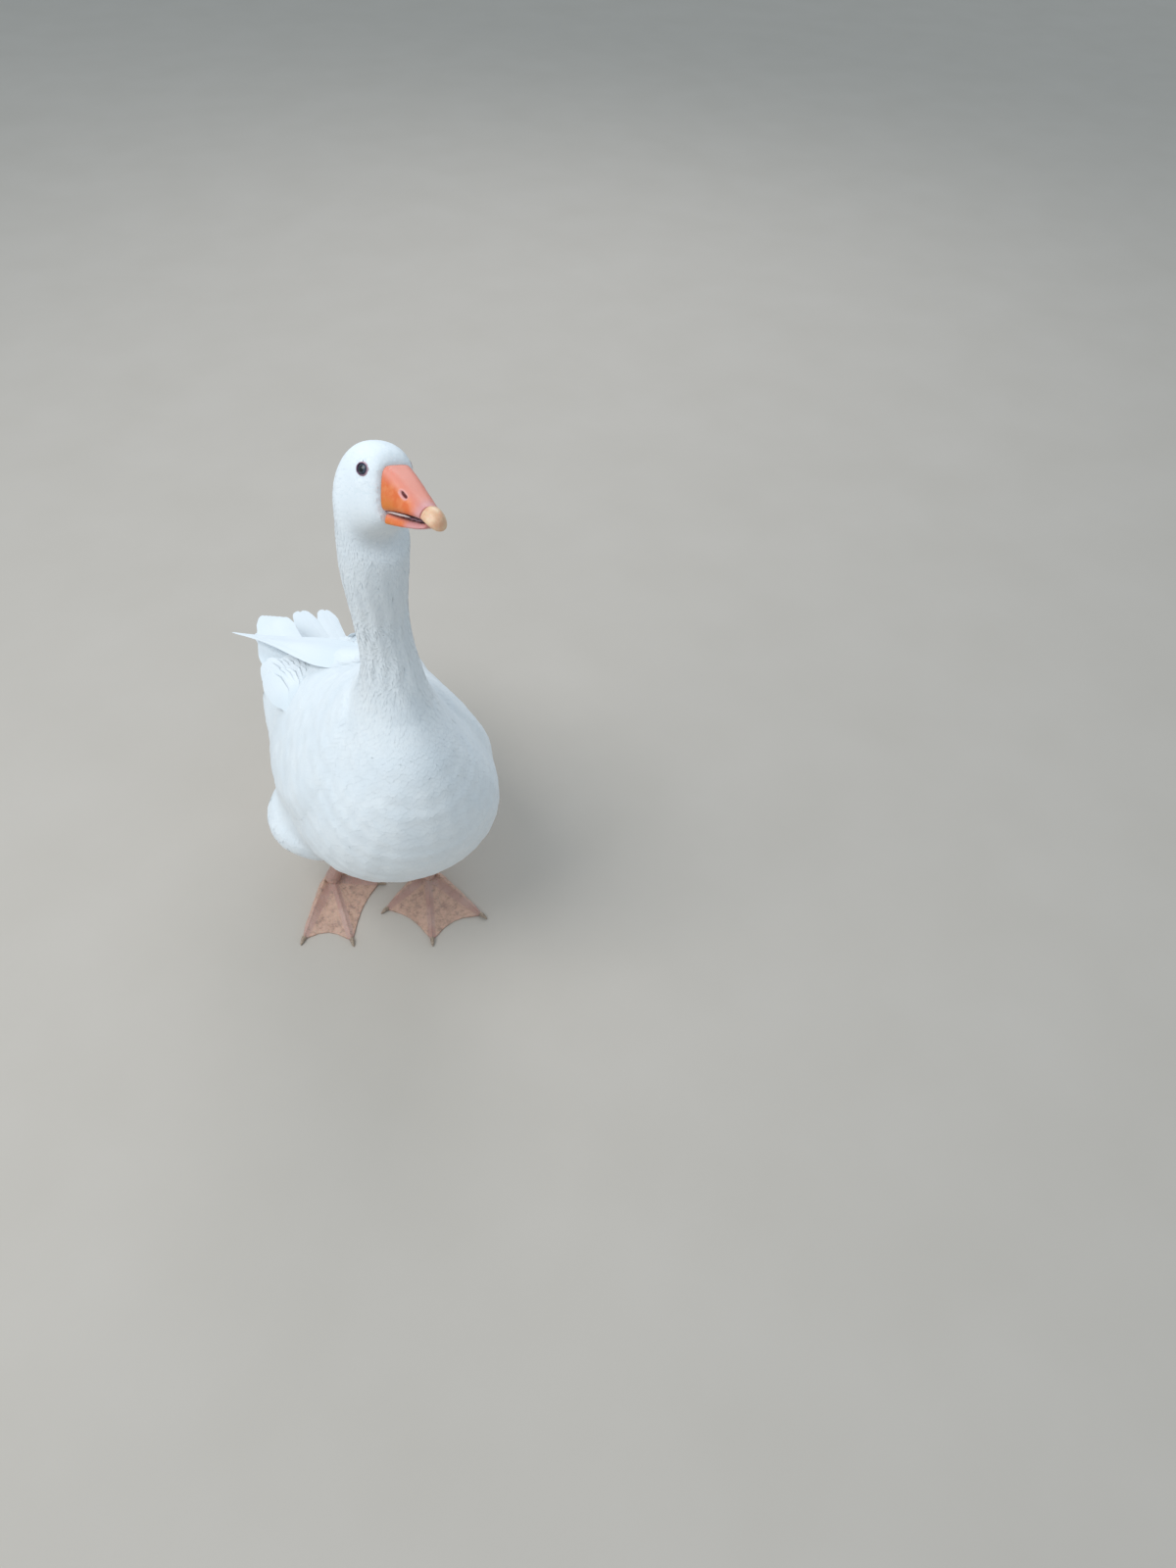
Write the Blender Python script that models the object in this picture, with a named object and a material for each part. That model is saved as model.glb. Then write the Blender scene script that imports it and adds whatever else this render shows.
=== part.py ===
"""A white domestic goose, life size, standing alert with its neck up and its bill raised.

Metres, +Z up. The goose faces -Y, so its right side is at -X. The floor is z = 0 and the origin is
under the middle of the bird's box. Head, neck and trunk are one loft, parted by thin flat cuts. The
wings are shells laid over the trunk, and the bill, eyes, tail, wing tips, thighs, shanks, feet and
claws are solids of their own.
"""

import math

import bmesh
import bpy
import numpy as np

GAP = 0.0003  # the clearance that neighbouring solids keep
MIDDLE = (-0.012, 0.028)  # x and y of the bird's middle, which becomes the origin
AROUND = 32  # points in a ring of the loft

# Stations of the loft, from the face to the tail. Each is a ring's ventral and dorsal point in the
# plane of symmetry as (forward, up), its half width, how pear-shaped it is (over 0 is wider below) and
# how round: 1 is an ellipse, less is nearer to a rectangle with round corners.
# The head's count from the root of the bill at the mouth line, with the mouth line level.
HEAD = (
    ((0.0040, -0.0120), (-0.0010, 0.0380), 0.0185, 0.04, 0.60),  # face, at the root of the bill
    ((-0.0040, -0.0180), (-0.0070, 0.0450), 0.0228, 0.04, 0.68),  # lores
    ((-0.0120, -0.0225), (-0.0160, 0.0492), 0.0255, 0.02, 0.72),  # eyes
    ((-0.0200, -0.0265), (-0.0290, 0.0512), 0.0282, 0.02, 0.78),
    ((-0.0260, -0.0310), (-0.0440, 0.0492), 0.0305, 0.04, 0.86),  # cheeks
    ((-0.0290, -0.0370), (-0.0600, 0.0400), 0.0328, 0.05, 0.94),
    ((-0.0290, -0.0460), (-0.0725, 0.0240), 0.0344, 0.04, 1.0),  # nape
    ((-0.0270, -0.0580), (-0.0800, 0.0000), 0.0346, 0.02, 1.0),  # throat
)
NECK = (
    ((0.1460, 0.5660), (0.0790, 0.5980), 0.0328, 0.0, 1.0),
    ((0.1405, 0.5290), (0.0780, 0.5520), 0.0285, 0.0, 1.0),
    ((0.1400, 0.4930), (0.0750, 0.5050), 0.0268, 0.0, 1.0),
    ((0.1450, 0.4560), (0.0680, 0.4600), 0.0286, 0.0, 1.0),
)
TRUNK = (
    ((0.1560, 0.4120), (0.0500, 0.4180), 0.0360, 0.0),  # foot of the neck
    ((0.1820, 0.3640), (0.0140, 0.3770), 0.0540, 0.12),  # shoulders
    ((0.1980, 0.3000), (-0.0250, 0.3480), 0.0790, 0.24),  # breast
    ((0.1930, 0.2320), (-0.0550, 0.3270), 0.1000, 0.28),
    ((0.1630, 0.1710), (-0.0820, 0.3120), 0.1130, 0.28),
    ((0.1120, 0.1240), (-0.1050, 0.2990), 0.1190, 0.26),  # belly
    ((0.0500, 0.0990), (-0.1260, 0.2870), 0.1180, 0.22),
    ((-0.0200, 0.0950), (-0.1440, 0.2720), 0.1090, 0.18),  # paunch
    ((-0.0750, 0.1120), (-0.1590, 0.2560), 0.0960, 0.12),
    ((-0.1150, 0.1440), (-0.1720, 0.2410), 0.0800, 0.06),  # vent
    ((-0.1420, 0.1750), (-0.1820, 0.2280), 0.0620, 0.0),  # root of the tail
)
CHEEK = 4  # station counts: the last ring that is all head, then the joints
NECK_TOP = len(HEAD) - 1
NECK_MID = NECK_TOP + 2.5
NECK_FOOT = NECK_TOP + 1 + len(NECK)
TAIL_ROOT = len(HEAD) + len(NECK) + len(TRUNK) - 1

# How the head is held: where the root of the bill comes, and how the neck turns and leans it.
HEAD_AT = (0.159, 0.665)
SKULL_BASE = (0.120, 0.645)
HEAD_PITCH = math.radians(16)  # bill raised
HEAD_TURN = math.radians(12)  # to its left
HEAD_TILT = math.radians(17)  # its right side up
HEAD_LEAN = -0.007  # to its left
NECK_BOW = 0.006  # of the neck's middle, to its left

EYE_AT = (2.05, 1.95)  # station count and angle round the ring
EYE_RADIUS = 0.0068
EYE_PROUD = 0.0016  # how far the ball stands out of the head

# The bill: forward, half width, ridge, and lower edge of each ring, of the upper half, of the nail and
# of the lower mandible. The rings lean with the face at the bill's root and stand upright at its end.
BILL = (
    (0.0034, 0.0168, 0.0362, -0.0012),
    (0.0150, 0.0163, 0.0310, 0.0004),
    (0.0260, 0.0154, 0.0248, 0.0010),
    (0.0370, 0.0140, 0.0182, 0.0014),
    (0.0460, 0.0122, 0.0135, 0.0012),
    (0.0510, 0.0112, 0.0120, 0.0006),
)
NAIL = (
    (0.0513, 0.0104, 0.0124, 0.0002),
    (0.0560, 0.0102, 0.0120, -0.0020),
    (0.0610, 0.0090, 0.0102, -0.0044),
    (0.0650, 0.0064, 0.0070, -0.0056),
    (0.0668, 0.0028, 0.0030, -0.0050),
)
MANDIBLE = (
    (0.0034, 0.0150, -0.0022, -0.0112),
    (0.0170, 0.0140, -0.0022, -0.0106),
    (0.0300, 0.0124, -0.0026, -0.0096),
    (0.0420, 0.0104, -0.0026, -0.0084),
    (0.0490, 0.0084, -0.0024, -0.0070),
    (0.0520, 0.0056, -0.0030, -0.0060),
)

# A folded wing: station count past the neck's foot, lower and upper edge as angles round the ring in
# degrees, thickness, and the share of its width over which it thins out towards its upper edge.
WING = (
    (0.75, 108, 128, 0.0020, 0.8),
    (1.20, 95, 146, 0.0040, 0.8),
    (2.20, 84, 158, 0.0055, 0.7),
    (3.80, 78, 167, 0.0070, 0.5),
    (5.60, 80, 171, 0.0070, 0.3),
    (7.20, 86, 172, 0.0110, 0.3),
    (8.60, 94, 171, 0.0300, 0.3),
    (9.70, 106, 166, 0.0500, 0.3),
)
WING_LIFT = 0.0012  # of the shell off the trunk, so that the facets of the two never meet

# The left wing's tip lies across the rump in a point, over the right one's, which follows the side:
# root and tip of each blade's middle line, half width, thickness.
TIP_LEFT = ((-0.050, 0.020, 0.3360), (-0.240, -0.116, 0.2660))  # forward, left, up
TIP_RIGHT = ((-0.128, -0.071, 0.2800), (-0.262, -0.057, 0.2620))
TIP_TAPER = {"left": 0.78, "right": 0.25}  # share of its width that a blade loses along it
TIP_HALF_WIDTH = 0.032
TIP_THICKNESS = 0.0030

TAIL_LENGTH = 0.115
TAIL_ROOT_HALF = 0.016
TAIL_SPREAD = math.radians(21)  # half the fan
TAIL_RISE = math.radians(11)
TAIL_TURN = math.radians(18)  # to its right
TAIL_TILT = 0.15  # metres down for each metre to its left
TAIL_FEATHERS = 4  # rounded feather ends along the fan's edge

# Feet: heel (forward, left), the way the middle toe points, to the goose's left, and each toe's
# angle outward in degrees and its length: inner, middle, outer. The right foot's inner toe is drawn in.
HEELS = {"left": (0.036, 0.030), "right": (-0.010, -0.087)}
HEADINGS = {"left": math.radians(-17), "right": math.radians(-4)}
TOES = {
    "left": ((-51, 0.072), (0, 0.101), (43, 0.096)),
    "right": ((-66, 0.060), (0, 0.101), (36, 0.096)),
}
HEEL_START = (0.0100, 0.0075)  # behind the heel's middle and beside it, where the toes begin
TOE_HALF_WIDTH = 0.0052
TOE_HEIGHT = 0.0105
WEB_THICKNESS = 0.0022
WEB_HOLLOW = 0.09  # how far a web's front edge curves in between two toes, as a share of their length
SHANK_TOP = 0.0735

# The hind toe and its claw: how far behind the heel, height and radius of each ring.
HALLUX = (
    (0.0138, 0.0180, 0.0040),
    (0.0190, 0.0150, 0.0044),
    (0.0245, 0.0105, 0.0038),
    (0.0275, 0.0078, 0.0026),
)
HIND_CLAW = ((0.0279, 0.0072, 0.0021), (0.0315, 0.0036, 0.0016), (0.0345, 0.0006, 0.0010))
HALLUX_OUT = math.radians(35)  # inward of straight back

# Thigh rings: forward and out of the hock, height, half length and half width.
THIGH = (
    (0.000, 0.000, 0.074, 0.0150, 0.0140),
    (0.000, 0.004, 0.086, 0.0280, 0.0280),
    (-0.006, 0.016, 0.104, 0.0480, 0.0460),
    (-0.012, 0.026, 0.126, 0.0600, 0.0560),
    (-0.018, 0.026, 0.150, 0.0600, 0.0540),
    (-0.024, 0.018, 0.172, 0.0420, 0.0380),
)
HOCKS = {"left": (0.022, 0.044), "right": (-0.002, 0.066)}  # forward and out

# Node colours (linear), roughness.
FINISHES = {
    "plumage": ((0.80, 0.82, 0.83), 0.90),
    "bill": ((0.86, 0.24, 0.09), 0.45),
    "nail": ((0.80, 0.52, 0.36), 0.40),
    "eye": ((0.02, 0.03, 0.05), 0.08),
    "leg": ((0.60, 0.27, 0.17), 0.60),
    "claw": ((0.62, 0.52, 0.42), 0.45),
}


def catmull(values, at):
    """A smooth curve through rows of values, read at the places in at, which count rows."""
    values = np.asarray(values, float)
    last = len(values) - 1
    at = np.clip(np.asarray(at, float), 0, last)
    i = np.minimum(at.astype(int), last - 1)
    t = (at - i)[:, None]
    before, after = values[np.maximum(i - 1, 0)], values[np.minimum(i + 2, last)]
    here, there = values[i], values[i + 1]
    return 0.5 * (
        2 * here
        + (there - before) * t
        + (2 * before - 5 * here + 4 * there - after) * t**2
        + (3 * here - before - 3 * there + after) * t**3
    )


def pitched(forward, up):
    """The head's own forward and up, in the plane of symmetry, before the neck turns it."""
    c, s = math.cos(HEAD_PITCH), math.sin(HEAD_PITCH)
    return HEAD_AT[0] + forward * c - up * s, HEAD_AT[1] + forward * s + up * c


def stations():
    """Every station as a row: ventral forward and up, dorsal forward and up, width, pear, round."""
    rows = [(*pitched(*low), *pitched(*high), *shape) for low, high, *shape in HEAD]
    rows += [(*low, *high, *shape) for low, high, *shape in NECK]
    rows += [(*low, *high, *shape, 1.0) for low, high, *shape in TRUNK]
    return np.array(rows)


ROWS = stations()


def placed(forward, left, up):
    """Points from how far ahead, to the goose's left and up they are: it faces -Y."""
    return np.stack(np.broadcast_arrays(left, -np.asarray(forward), up), axis=-1)


def turned(forward, left, up, share):
    """Points of the head or neck tilted and turned about the skull's base by a share of the pose."""
    forward, up = forward - SKULL_BASE[0], up - SKULL_BASE[1]
    tilt, turn = HEAD_TILT * share, HEAD_TURN * share
    left, up = left * np.cos(tilt) + up * np.sin(tilt), up * np.cos(tilt) - left * np.sin(tilt)
    ahead = forward * np.cos(turn) - left * np.sin(turn)
    beside = forward * np.sin(turn) + left * np.cos(turn)
    beside = beside + HEAD_LEAN * share + NECK_BOW * 4 * share * (1 - share)
    return placed(ahead + SKULL_BASE[0], beside, up + SKULL_BASE[1])


def share_at(s):
    """How much of the head's pose a ring takes: none at the foot of the neck, all from the cheeks up."""
    t = np.clip((NECK_FOOT - np.asarray(s, float)) / (NECK_FOOT - CHEEK), 0, 1)
    return t * t * (3 - 2 * t)


def squared(value, roundness):
    """A sine or cosine pushed outward, which turns an ellipse towards a rectangle."""
    return np.sign(value) * np.abs(value) ** roundness


def skin(s, angle):
    """The loft's surface at station count s and angle round the ring: 0 is the belly, pi the back,
    and the goose's left comes first."""
    s, angle = np.broadcast_arrays(np.asarray(s, float), np.asarray(angle, float))
    row = np.moveaxis(catmull(ROWS, s.ravel()).reshape(*s.shape, 7), -1, 0)
    low_forward, low_up, high_forward, high_up, width, pear, roundness = row
    cosine, sine = squared(np.cos(angle), roundness), squared(np.sin(angle), roundness)
    up = (1 - cosine) / 2
    forward = low_forward * (1 - up) + high_forward * up
    height = low_up * (1 - up) + high_up * up
    return turned(forward, width * sine * (1 + pear * cosine), height, share_at(s))


def outward(s, angle):
    """The loft's unit normal, from small steps along and round it."""
    step = 1e-3
    along = skin(s + step, angle) - skin(s - step, angle)
    around = skin(s, angle + step) - skin(s, angle - step)
    normal = np.cross(along, around)
    return normal / np.linalg.norm(normal, axis=-1, keepdims=True)


def from_head(forward, left, up):
    """Points given in the head's own frame, put in place."""
    ahead, height = pitched(np.asarray(forward, float), np.asarray(up, float))
    return turned(ahead, np.asarray(left, float), height, 1.0)


def add_solid(name, points, faces, finish):
    """One closed body, turned outward and smooth, with its own material."""
    mesh = bpy.data.meshes.new(name)
    mesh.from_pydata([(x - MIDDLE[0], y - MIDDLE[1], z) for x, y, z in points], [], faces)
    work = bmesh.new()
    work.from_mesh(mesh)
    bmesh.ops.triangulate(work, faces=[f for f in work.faces if len(f.verts) > 4])
    bmesh.ops.recalc_face_normals(work, faces=work.faces)
    work.to_mesh(mesh)
    work.free()
    mesh.shade_smooth()
    colour, roughness = FINISHES[finish]
    material = bpy.data.materials.new(name)
    material.use_nodes = True
    shader = material.node_tree.nodes["Principled BSDF"]
    shader.inputs["Base Color"].default_value = (*colour, 1)
    shader.inputs["Roughness"].default_value = roughness
    shader.inputs["Metallic"].default_value = 0
    mesh.materials.append(material)
    solid = bpy.data.objects.new(name, mesh)
    bpy.context.scene.collection.objects.link(solid)
    return solid


def tube(name, rings, finish):
    """A closed body through rings of points, one flat face over each end."""
    rings = np.asarray(rings, float)
    count, n = rings.shape[:2]
    faces = [tuple(range(n))[::-1], tuple(range((count - 1) * n, count * n))]
    for r in range(count - 1):
        for i in range(n):
            a, b = r * n + i, r * n + (i + 1) % n
            faces.append((a, b, b + n, a + n))
    return add_solid(name, rings.reshape(-1, 3), faces, finish)


def slab(name, upper, lower, finish):
    """A closed body between two grids of points, with a wall round the rim."""
    rows, columns = upper.shape[:2]
    size = rows * columns
    faces = []
    for r in range(rows - 1):
        for c in range(columns - 1):
            a = r * columns + c
            quad = (a, a + 1, a + columns + 1, a + columns)
            faces += [quad, tuple(size + i for i in quad[::-1])]
    rim = [c for c in range(columns)]
    rim += [r * columns + columns - 1 for r in range(1, rows)]
    rim += [(rows - 1) * columns + c for c in range(columns - 2, -1, -1)]
    rim += [r * columns for r in range(rows - 2, 0, -1)]
    for one, two in zip(rim, rim[1:] + rim[:1]):
        faces.append((one, one + size, two + size, two))
    points = np.concatenate([upper.reshape(-1, 3), lower.reshape(-1, 3)])
    return add_solid(name, points, faces, finish)


def lofted(name, first, last, count, lift=0.0):
    """A length of the loft; an end that meets a neighbour is drawn back by half the clearance."""
    s = np.linspace(first, last, count)[:, None]
    angle = np.linspace(0, 2 * math.pi, AROUND, endpoint=False)[None, :]
    rings = skin(s, angle) + lift * outward(s, angle)
    for end, inward in ((0, 1), (-1, -2)):
        way = np.cross(rings[end, AROUND // 4] - rings[end, 0], rings[end, AROUND // 2] - rings[end, 0])
        way /= np.linalg.norm(way)
        way *= np.sign(np.dot(rings[inward].mean(0) - rings[end].mean(0), way))
        rings[end] += way * GAP / 2
    return tube(name, rings, "plumage")


def cut_by(solid, cutter):
    """Take a hidden body's shape out of a solid."""
    cutter.hide_render = True
    cutter.display_type = "WIRE"
    cut = solid.modifiers.new("cut", "BOOLEAN")
    cut.operation = "DIFFERENCE"
    cut.solver = "EXACT"
    cut.object = cutter


def ball(name, centre, radius, finish, rings=7, around=12):
    """A sphere whose poles lie across the head."""
    rise = np.linspace(0, math.pi, rings + 2)[1:-1, None]
    turn = np.linspace(0, 2 * math.pi, around, endpoint=False)[None, :]
    unit = np.stack(
        np.broadcast_arrays(np.cos(rise), np.sin(rise) * np.cos(turn), np.sin(rise) * np.sin(turn)), -1
    )
    return tube(name, centre + radius * unit, finish)


def make_head():
    """The head with a socket for each eye, and the eyes."""
    head = lofted("head", 0, NECK_TOP, 13)
    station, angle = EYE_AT
    for side, sign in (("left", 1), ("right", -1)):
        inward = EYE_PROUD - EYE_RADIUS
        centre = skin(station, sign * angle) + inward * outward(station, sign * angle)
        cut_by(head, ball("socket_" + side, centre, EYE_RADIUS + 2 * GAP, "plumage"))
        ball("eye_" + side, centre, EYE_RADIUS, "eye")


def bill_rings(rows, count, dome):
    """Rings of a bill part: boxy at the root and rounder ahead, narrower towards the ridge."""
    (low_f, low_u), (high_f, high_u) = HEAD[0][:2]
    face_lean = (high_f - low_f) / (high_u - low_u)
    turn = np.linspace(0, 2 * math.pi, 18, endpoint=False)
    rings = []
    for forward, half, high, low in catmull(rows, np.linspace(0, len(rows) - 1, count)):
        ahead = min(1.0, forward / NAIL[0][0])
        boxy = dome * (0.6 + 0.4 * ahead)
        side = squared(np.cos(turn), boxy) * half
        rise = squared(np.sin(turn), boxy)
        middle = low + 0.35 * (high - low)
        up = np.where(rise > 0, middle + rise * (high - middle), middle + rise * (middle - low))
        taper = np.where(rise > 0, 1 - (0.10 + 0.15 * ahead) * rise, 1.0)
        lean = face_lean * up * (1 - ahead)
        rings.append(from_head(forward + lean, side * taper, up))
    return np.array(rings)


def make_bill():
    """The bill's two halves and the nail at its end."""
    tube("bill_upper", bill_rings(BILL, 7, 0.8), "bill")
    tube("bill_lower", bill_rings(MANDIBLE, 6, 0.7), "bill")
    tube("bill_nail", bill_rings(NAIL, 6, 0.9), "nail")


def make_wing(side, sign):
    """A folded wing: a shell over the trunk, swollen in the middle and thin at its edges."""
    u = np.linspace(0, len(WING) - 1, 17)
    rows = catmull(WING, u)
    v = np.linspace(0, 1, 11)[None, :]
    s = NECK_FOOT + rows[:, :1] + 0 * v
    angle = np.radians(rows[:, 1:2] * (1 - v) + rows[:, 2:3] * v)
    low = np.clip(v / 0.16, 0, 1)
    high = np.clip((1 - v) / rows[:, 4:5], 0, 1)
    swell = np.sqrt(1 - (1 - low) ** 2) * (high * (2 - high)) ** 1.5
    ends = np.sqrt(np.clip(1 - ((u[:, None] / (len(WING) - 1) - 0.5) / 0.5) ** 8, 0, 1))
    thick = 0.0012 + rows[:, 3:4] * swell * ends
    inner = skin(s, angle) + WING_LIFT * outward(s, angle)
    outer = inner + thick[..., None] * outward(s, angle)
    flip = np.array([sign, 1, 1])
    slab("wing_" + side, outer * flip, inner * flip, "plumage")


def make_wing_tip(side, root, tip):
    """A blade that narrows to a rounded point, arched a little across."""
    t = np.linspace(0, 1, 10)[:, None]
    q = np.linspace(-1, 1, 5)[None, :]
    root, tip = np.array(root), np.array(tip)
    run = (tip - root) / np.linalg.norm(tip - root)
    across = np.cross(run, (0, 0, 1))
    across /= np.linalg.norm(across)
    rounded = np.clip(0.4 + 6 * t, 0, 1) * np.sqrt(np.clip(1 - t**6, 0.02, 1))
    half = TIP_HALF_WIDTH * (1 - TIP_TAPER[side] * t) * rounded
    middle = root + (tip - root) * t[..., None] + (0 * q)[..., None]
    flat = middle + across * (half * q)[..., None]
    thick = TIP_THICKNESS * (1 - 0.7 * t) * (1 - 0.5 * q**2)
    forward, left, up = np.moveaxis(flat, -1, 0)
    up = up + 0.10 * half * (1 - q**2)
    upper, lower = placed(forward, left, up + thick / 2), placed(forward, left, up - thick / 2)
    slab("primaries_" + side, upper, lower, "plumage")


def make_tail():
    """A cocked fan: its edge is scalloped by the feather ends, its middle is thick at the root."""
    t = np.linspace(0, 1, 6)[:, None]
    q = np.linspace(-1, 1, 8 * TAIL_FEATHERS + 1)[None, :]
    low, high = ROWS[-1, 0:2], ROWS[-1, 2:4]  # ends of the trunk's last ring
    along_cut = (high - low) / np.linalg.norm(high - low)
    root = (low + high) / 2 + 2 * GAP * np.array([-along_cut[1], along_cut[0]])
    ends = np.abs(np.cos(q * math.pi * TAIL_FEATHERS / 2)) ** 3  # 1 where two feathers part
    length = TAIL_LENGTH * (1 - 0.10 * q**2) * (1 - 0.12 * ends)
    way = q * TAIL_SPREAD - TAIL_TURN
    back = length * t * np.cos(way)
    left = TAIL_ROOT_HALF * np.sin(q * math.pi / 2) + length * t * np.sin(way)
    rise = back * math.tan(TAIL_RISE) + 0.012 * t**2 - 0.006 * t * q**2 - TAIL_TILT * t * left
    thick = 0.0012 + 0.030 * (1 - t) ** 2.2 * (1 - q**2) ** 0.5 + 0.003 * (1 - t)
    upright = np.clip(3 * t, 0, 1)[..., None]
    lean = along_cut * (1 - upright) + np.array([0, 1.0]) * upright
    lean = lean / np.linalg.norm(lean, axis=-1, keepdims=True) * thick[..., None] / 2
    middle = np.stack([root[0] - back, root[1] + rise], -1)
    above, below = (placed(p[..., 0], left, p[..., 1]) for p in (middle + lean, middle - lean))
    slab("tail", above, below, "plumage")


def toe_line(side, sign, toe, t, edge):
    """Points at shares t down a toe, on its axis for edge 0, or on one of its edges for -1 and 1."""
    degrees, length = TOES[side][toe]
    way = math.radians(degrees) * sign
    ahead = np.array([math.cos(way), math.sin(way)])
    beside = np.array([-ahead[1], ahead[0]]) * sign
    back, out = HEEL_START
    start = np.array([-back + 0.4 * abs(toe - 1) * out, (toe - 1) * out * sign])
    blunt = np.sqrt(np.clip(1 - t**10, 0.12, 1))
    half = TOE_HALF_WIDTH * (1.25 - 0.45 * t) * blunt * np.clip(0.25 + 6 * t, 0, 1)
    return start + (length * ahead - start) * t + edge * half * beside


def foot_columns(side, sign, t):
    """Lines of points that run from the heel to the foot's front edge, from the inner toe outward:
    three to a toe, three to a web. Also how high each line's top stands."""
    t = t[:, None]
    toe_top = TOE_HEIGHT * (1 - 0.42 * t)
    toe_edge = 0.45 * toe_top + 0.0008
    web_top = WEB_THICKNESS + 0.25 * toe_top * (1 - t) ** 3
    lines, heights = [], []
    for toe in range(3):
        lines += [toe_line(side, sign, toe, t, edge) for edge in (-1, 0, 1)]
        heights += [toe_edge, toe_top, toe_edge]
        if toe == 2:
            break
        for share in (0.25, 0.5, 0.75):
            at = t * (0.97 - WEB_HOLLOW * math.sin(math.pi * share))
            near, far = toe_line(side, sign, toe, at, 1), toe_line(side, sign, toe + 1, at, -1)
            lines.append(near * (1 - share) + far * share)
            heights.append(web_top)
    return np.stack(lines, 1), np.concatenate(heights, 1)


def foot_place(side, points):
    """Foot points, as (ahead, beside, up), put under the goose."""
    c, s = math.cos(HEADINGS[side]), math.sin(HEADINGS[side])
    ahead, beside, up = np.moveaxis(np.asarray(points, float), -1, 0)
    forward, left = HEELS[side]
    return placed(forward + ahead * c - beside * s, left + ahead * s + beside * c, up)


def make_foot(side, sign):
    """The webbed foot, flat underneath, with its claws and the small hind toe."""
    t = np.array([0, 0.12, 0.3, 0.5, 0.7, 0.85, 0.95, 1.0])
    flat, height = foot_columns(side, sign, t)
    upper = np.concatenate([flat, height[..., None]], -1)
    lower = np.concatenate([flat, 0 * height[..., None]], -1)
    slab("foot_" + side, foot_place(side, upper), foot_place(side, lower), "leg")
    for (degrees, length), name in zip(TOES[side], ("inner", "middle", "outer")):
        way = math.radians(degrees) * sign
        make_claw(f"claw_{name}_{side}", side, (math.cos(way), math.sin(way)), length, 0.0034)
    make_hallux(side, sign)


def ring_across(middle, ahead, wide, tall, count=6):
    """An upright ring that faces along ahead, a level unit direction."""
    turn = np.linspace(0, 2 * math.pi, count, endpoint=False)[:, None]
    beside, up = np.array([-ahead[1], ahead[0], 0]), np.array([0, 0, 1])
    return middle + wide * np.cos(turn) * beside + tall * np.sin(turn) * up


def make_claw(name, side, ahead, reach, high):
    """A short blunt claw, bent down from a toe's end."""
    way = np.array([*ahead, 0])
    rings = [
        ring_across(way * (reach + GAP) + (0, 0, high), way, 0.0026, 0.0026),
        ring_across(way * (reach + 0.004) + (0, 0, high - 0.0001), way, 0.0023, 0.0024),
        ring_across(way * (reach + 0.008) + (0, 0, high - 0.0009), way, 0.0015, 0.0016),
        ring_across(way * (reach + 0.0105) + (0, 0, high - 0.0018), way, 0.0006, 0.0006),
    ]
    tube(name, foot_place(side, rings), "claw")


def make_hallux(side, sign):
    """The small hind toe, which slopes down from the heel, and its claw, whose end rests on the floor."""
    way = np.array([-math.cos(HALLUX_OUT), -sign * math.sin(HALLUX_OUT), 0])
    for name, rows, finish in (("hallux_", HALLUX, "leg"), ("claw_hind_", HIND_CLAW, "claw")):
        rings = [ring_across(way * back + (0, 0, up), way, half, half) for back, up, half in rows]
        rings = np.maximum(rings, (-1, -1, 0))
        tube(name + side, foot_place(side, rings), finish)


def make_leg(side, sign):
    """The bare shank, from just above the foot to the hock under the thigh's feathers."""
    turn = np.linspace(0, 2 * math.pi, 12, endpoint=False)
    foot, hock = np.array(HEELS[side]), np.array(HOCKS[side]) * (1, sign)
    low = TOE_HEIGHT + GAP
    rings = []
    for at in np.linspace(0, 1, 6):
        half = 0.0070 + 0.0034 * (1 - at) ** 3 + 0.0024 * at**3
        forward, left = foot + (hock - foot) * at
        up = low + (SHANK_TOP - low) * at
        rings.append(placed(forward + 1.2 * half * np.cos(turn), left + half * np.sin(turn), up))
    tube("shank_" + side, rings, "leg")


def make_thigh(side, sign, trunk_cutter):
    """The feathered thigh, from the hock up to the trunk, whose shape is taken out of it."""
    turn = np.linspace(0, 2 * math.pi, 18, endpoint=False)
    rings = []
    ahead, beside = HOCKS[side]
    for forward, out, up, long, wide in catmull(THIGH, np.linspace(0, len(THIGH) - 1, 9)):
        left = sign * (out + beside) + wide * np.sin(turn)
        rings.append(placed(forward + ahead + long * np.cos(turn), left, up))
    thigh = tube("thigh_" + side, rings, "plumage")
    cut_by(thigh, trunk_cutter)


for old in list(bpy.data.objects):
    bpy.data.objects.remove(old)

make_head()
make_bill()
lofted("neck_upper", NECK_TOP, NECK_MID, 6)
lofted("neck_lower", NECK_MID, NECK_FOOT, 6)
lofted("trunk", NECK_FOOT, TAIL_ROOT, 23)
cutter = lofted("trunk_cutter", NECK_FOOT, TAIL_ROOT, 23, lift=2 * GAP)
make_wing_tip("left", *TIP_LEFT)
make_wing_tip("right", *TIP_RIGHT)
make_tail()
for side, sign in (("left", 1), ("right", -1)):
    make_wing(side, sign)
    make_thigh(side, sign, cutter)
    make_leg(side, sign)
    make_foot(side, sign)
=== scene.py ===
# %% [markdown]
# # A white goose, feather by feather
# This lesson dresses a plain solid goose. The frame holds its true shape and size in metres: the goose
# faces -Y and stands on z = 0. Each step below adds one thing the solid lacks, which is a skin without
# seams, some seventeen thousand feathers, horn on the bill and claws, eyes, and light to see them by.

# %% The frame
import math

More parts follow.
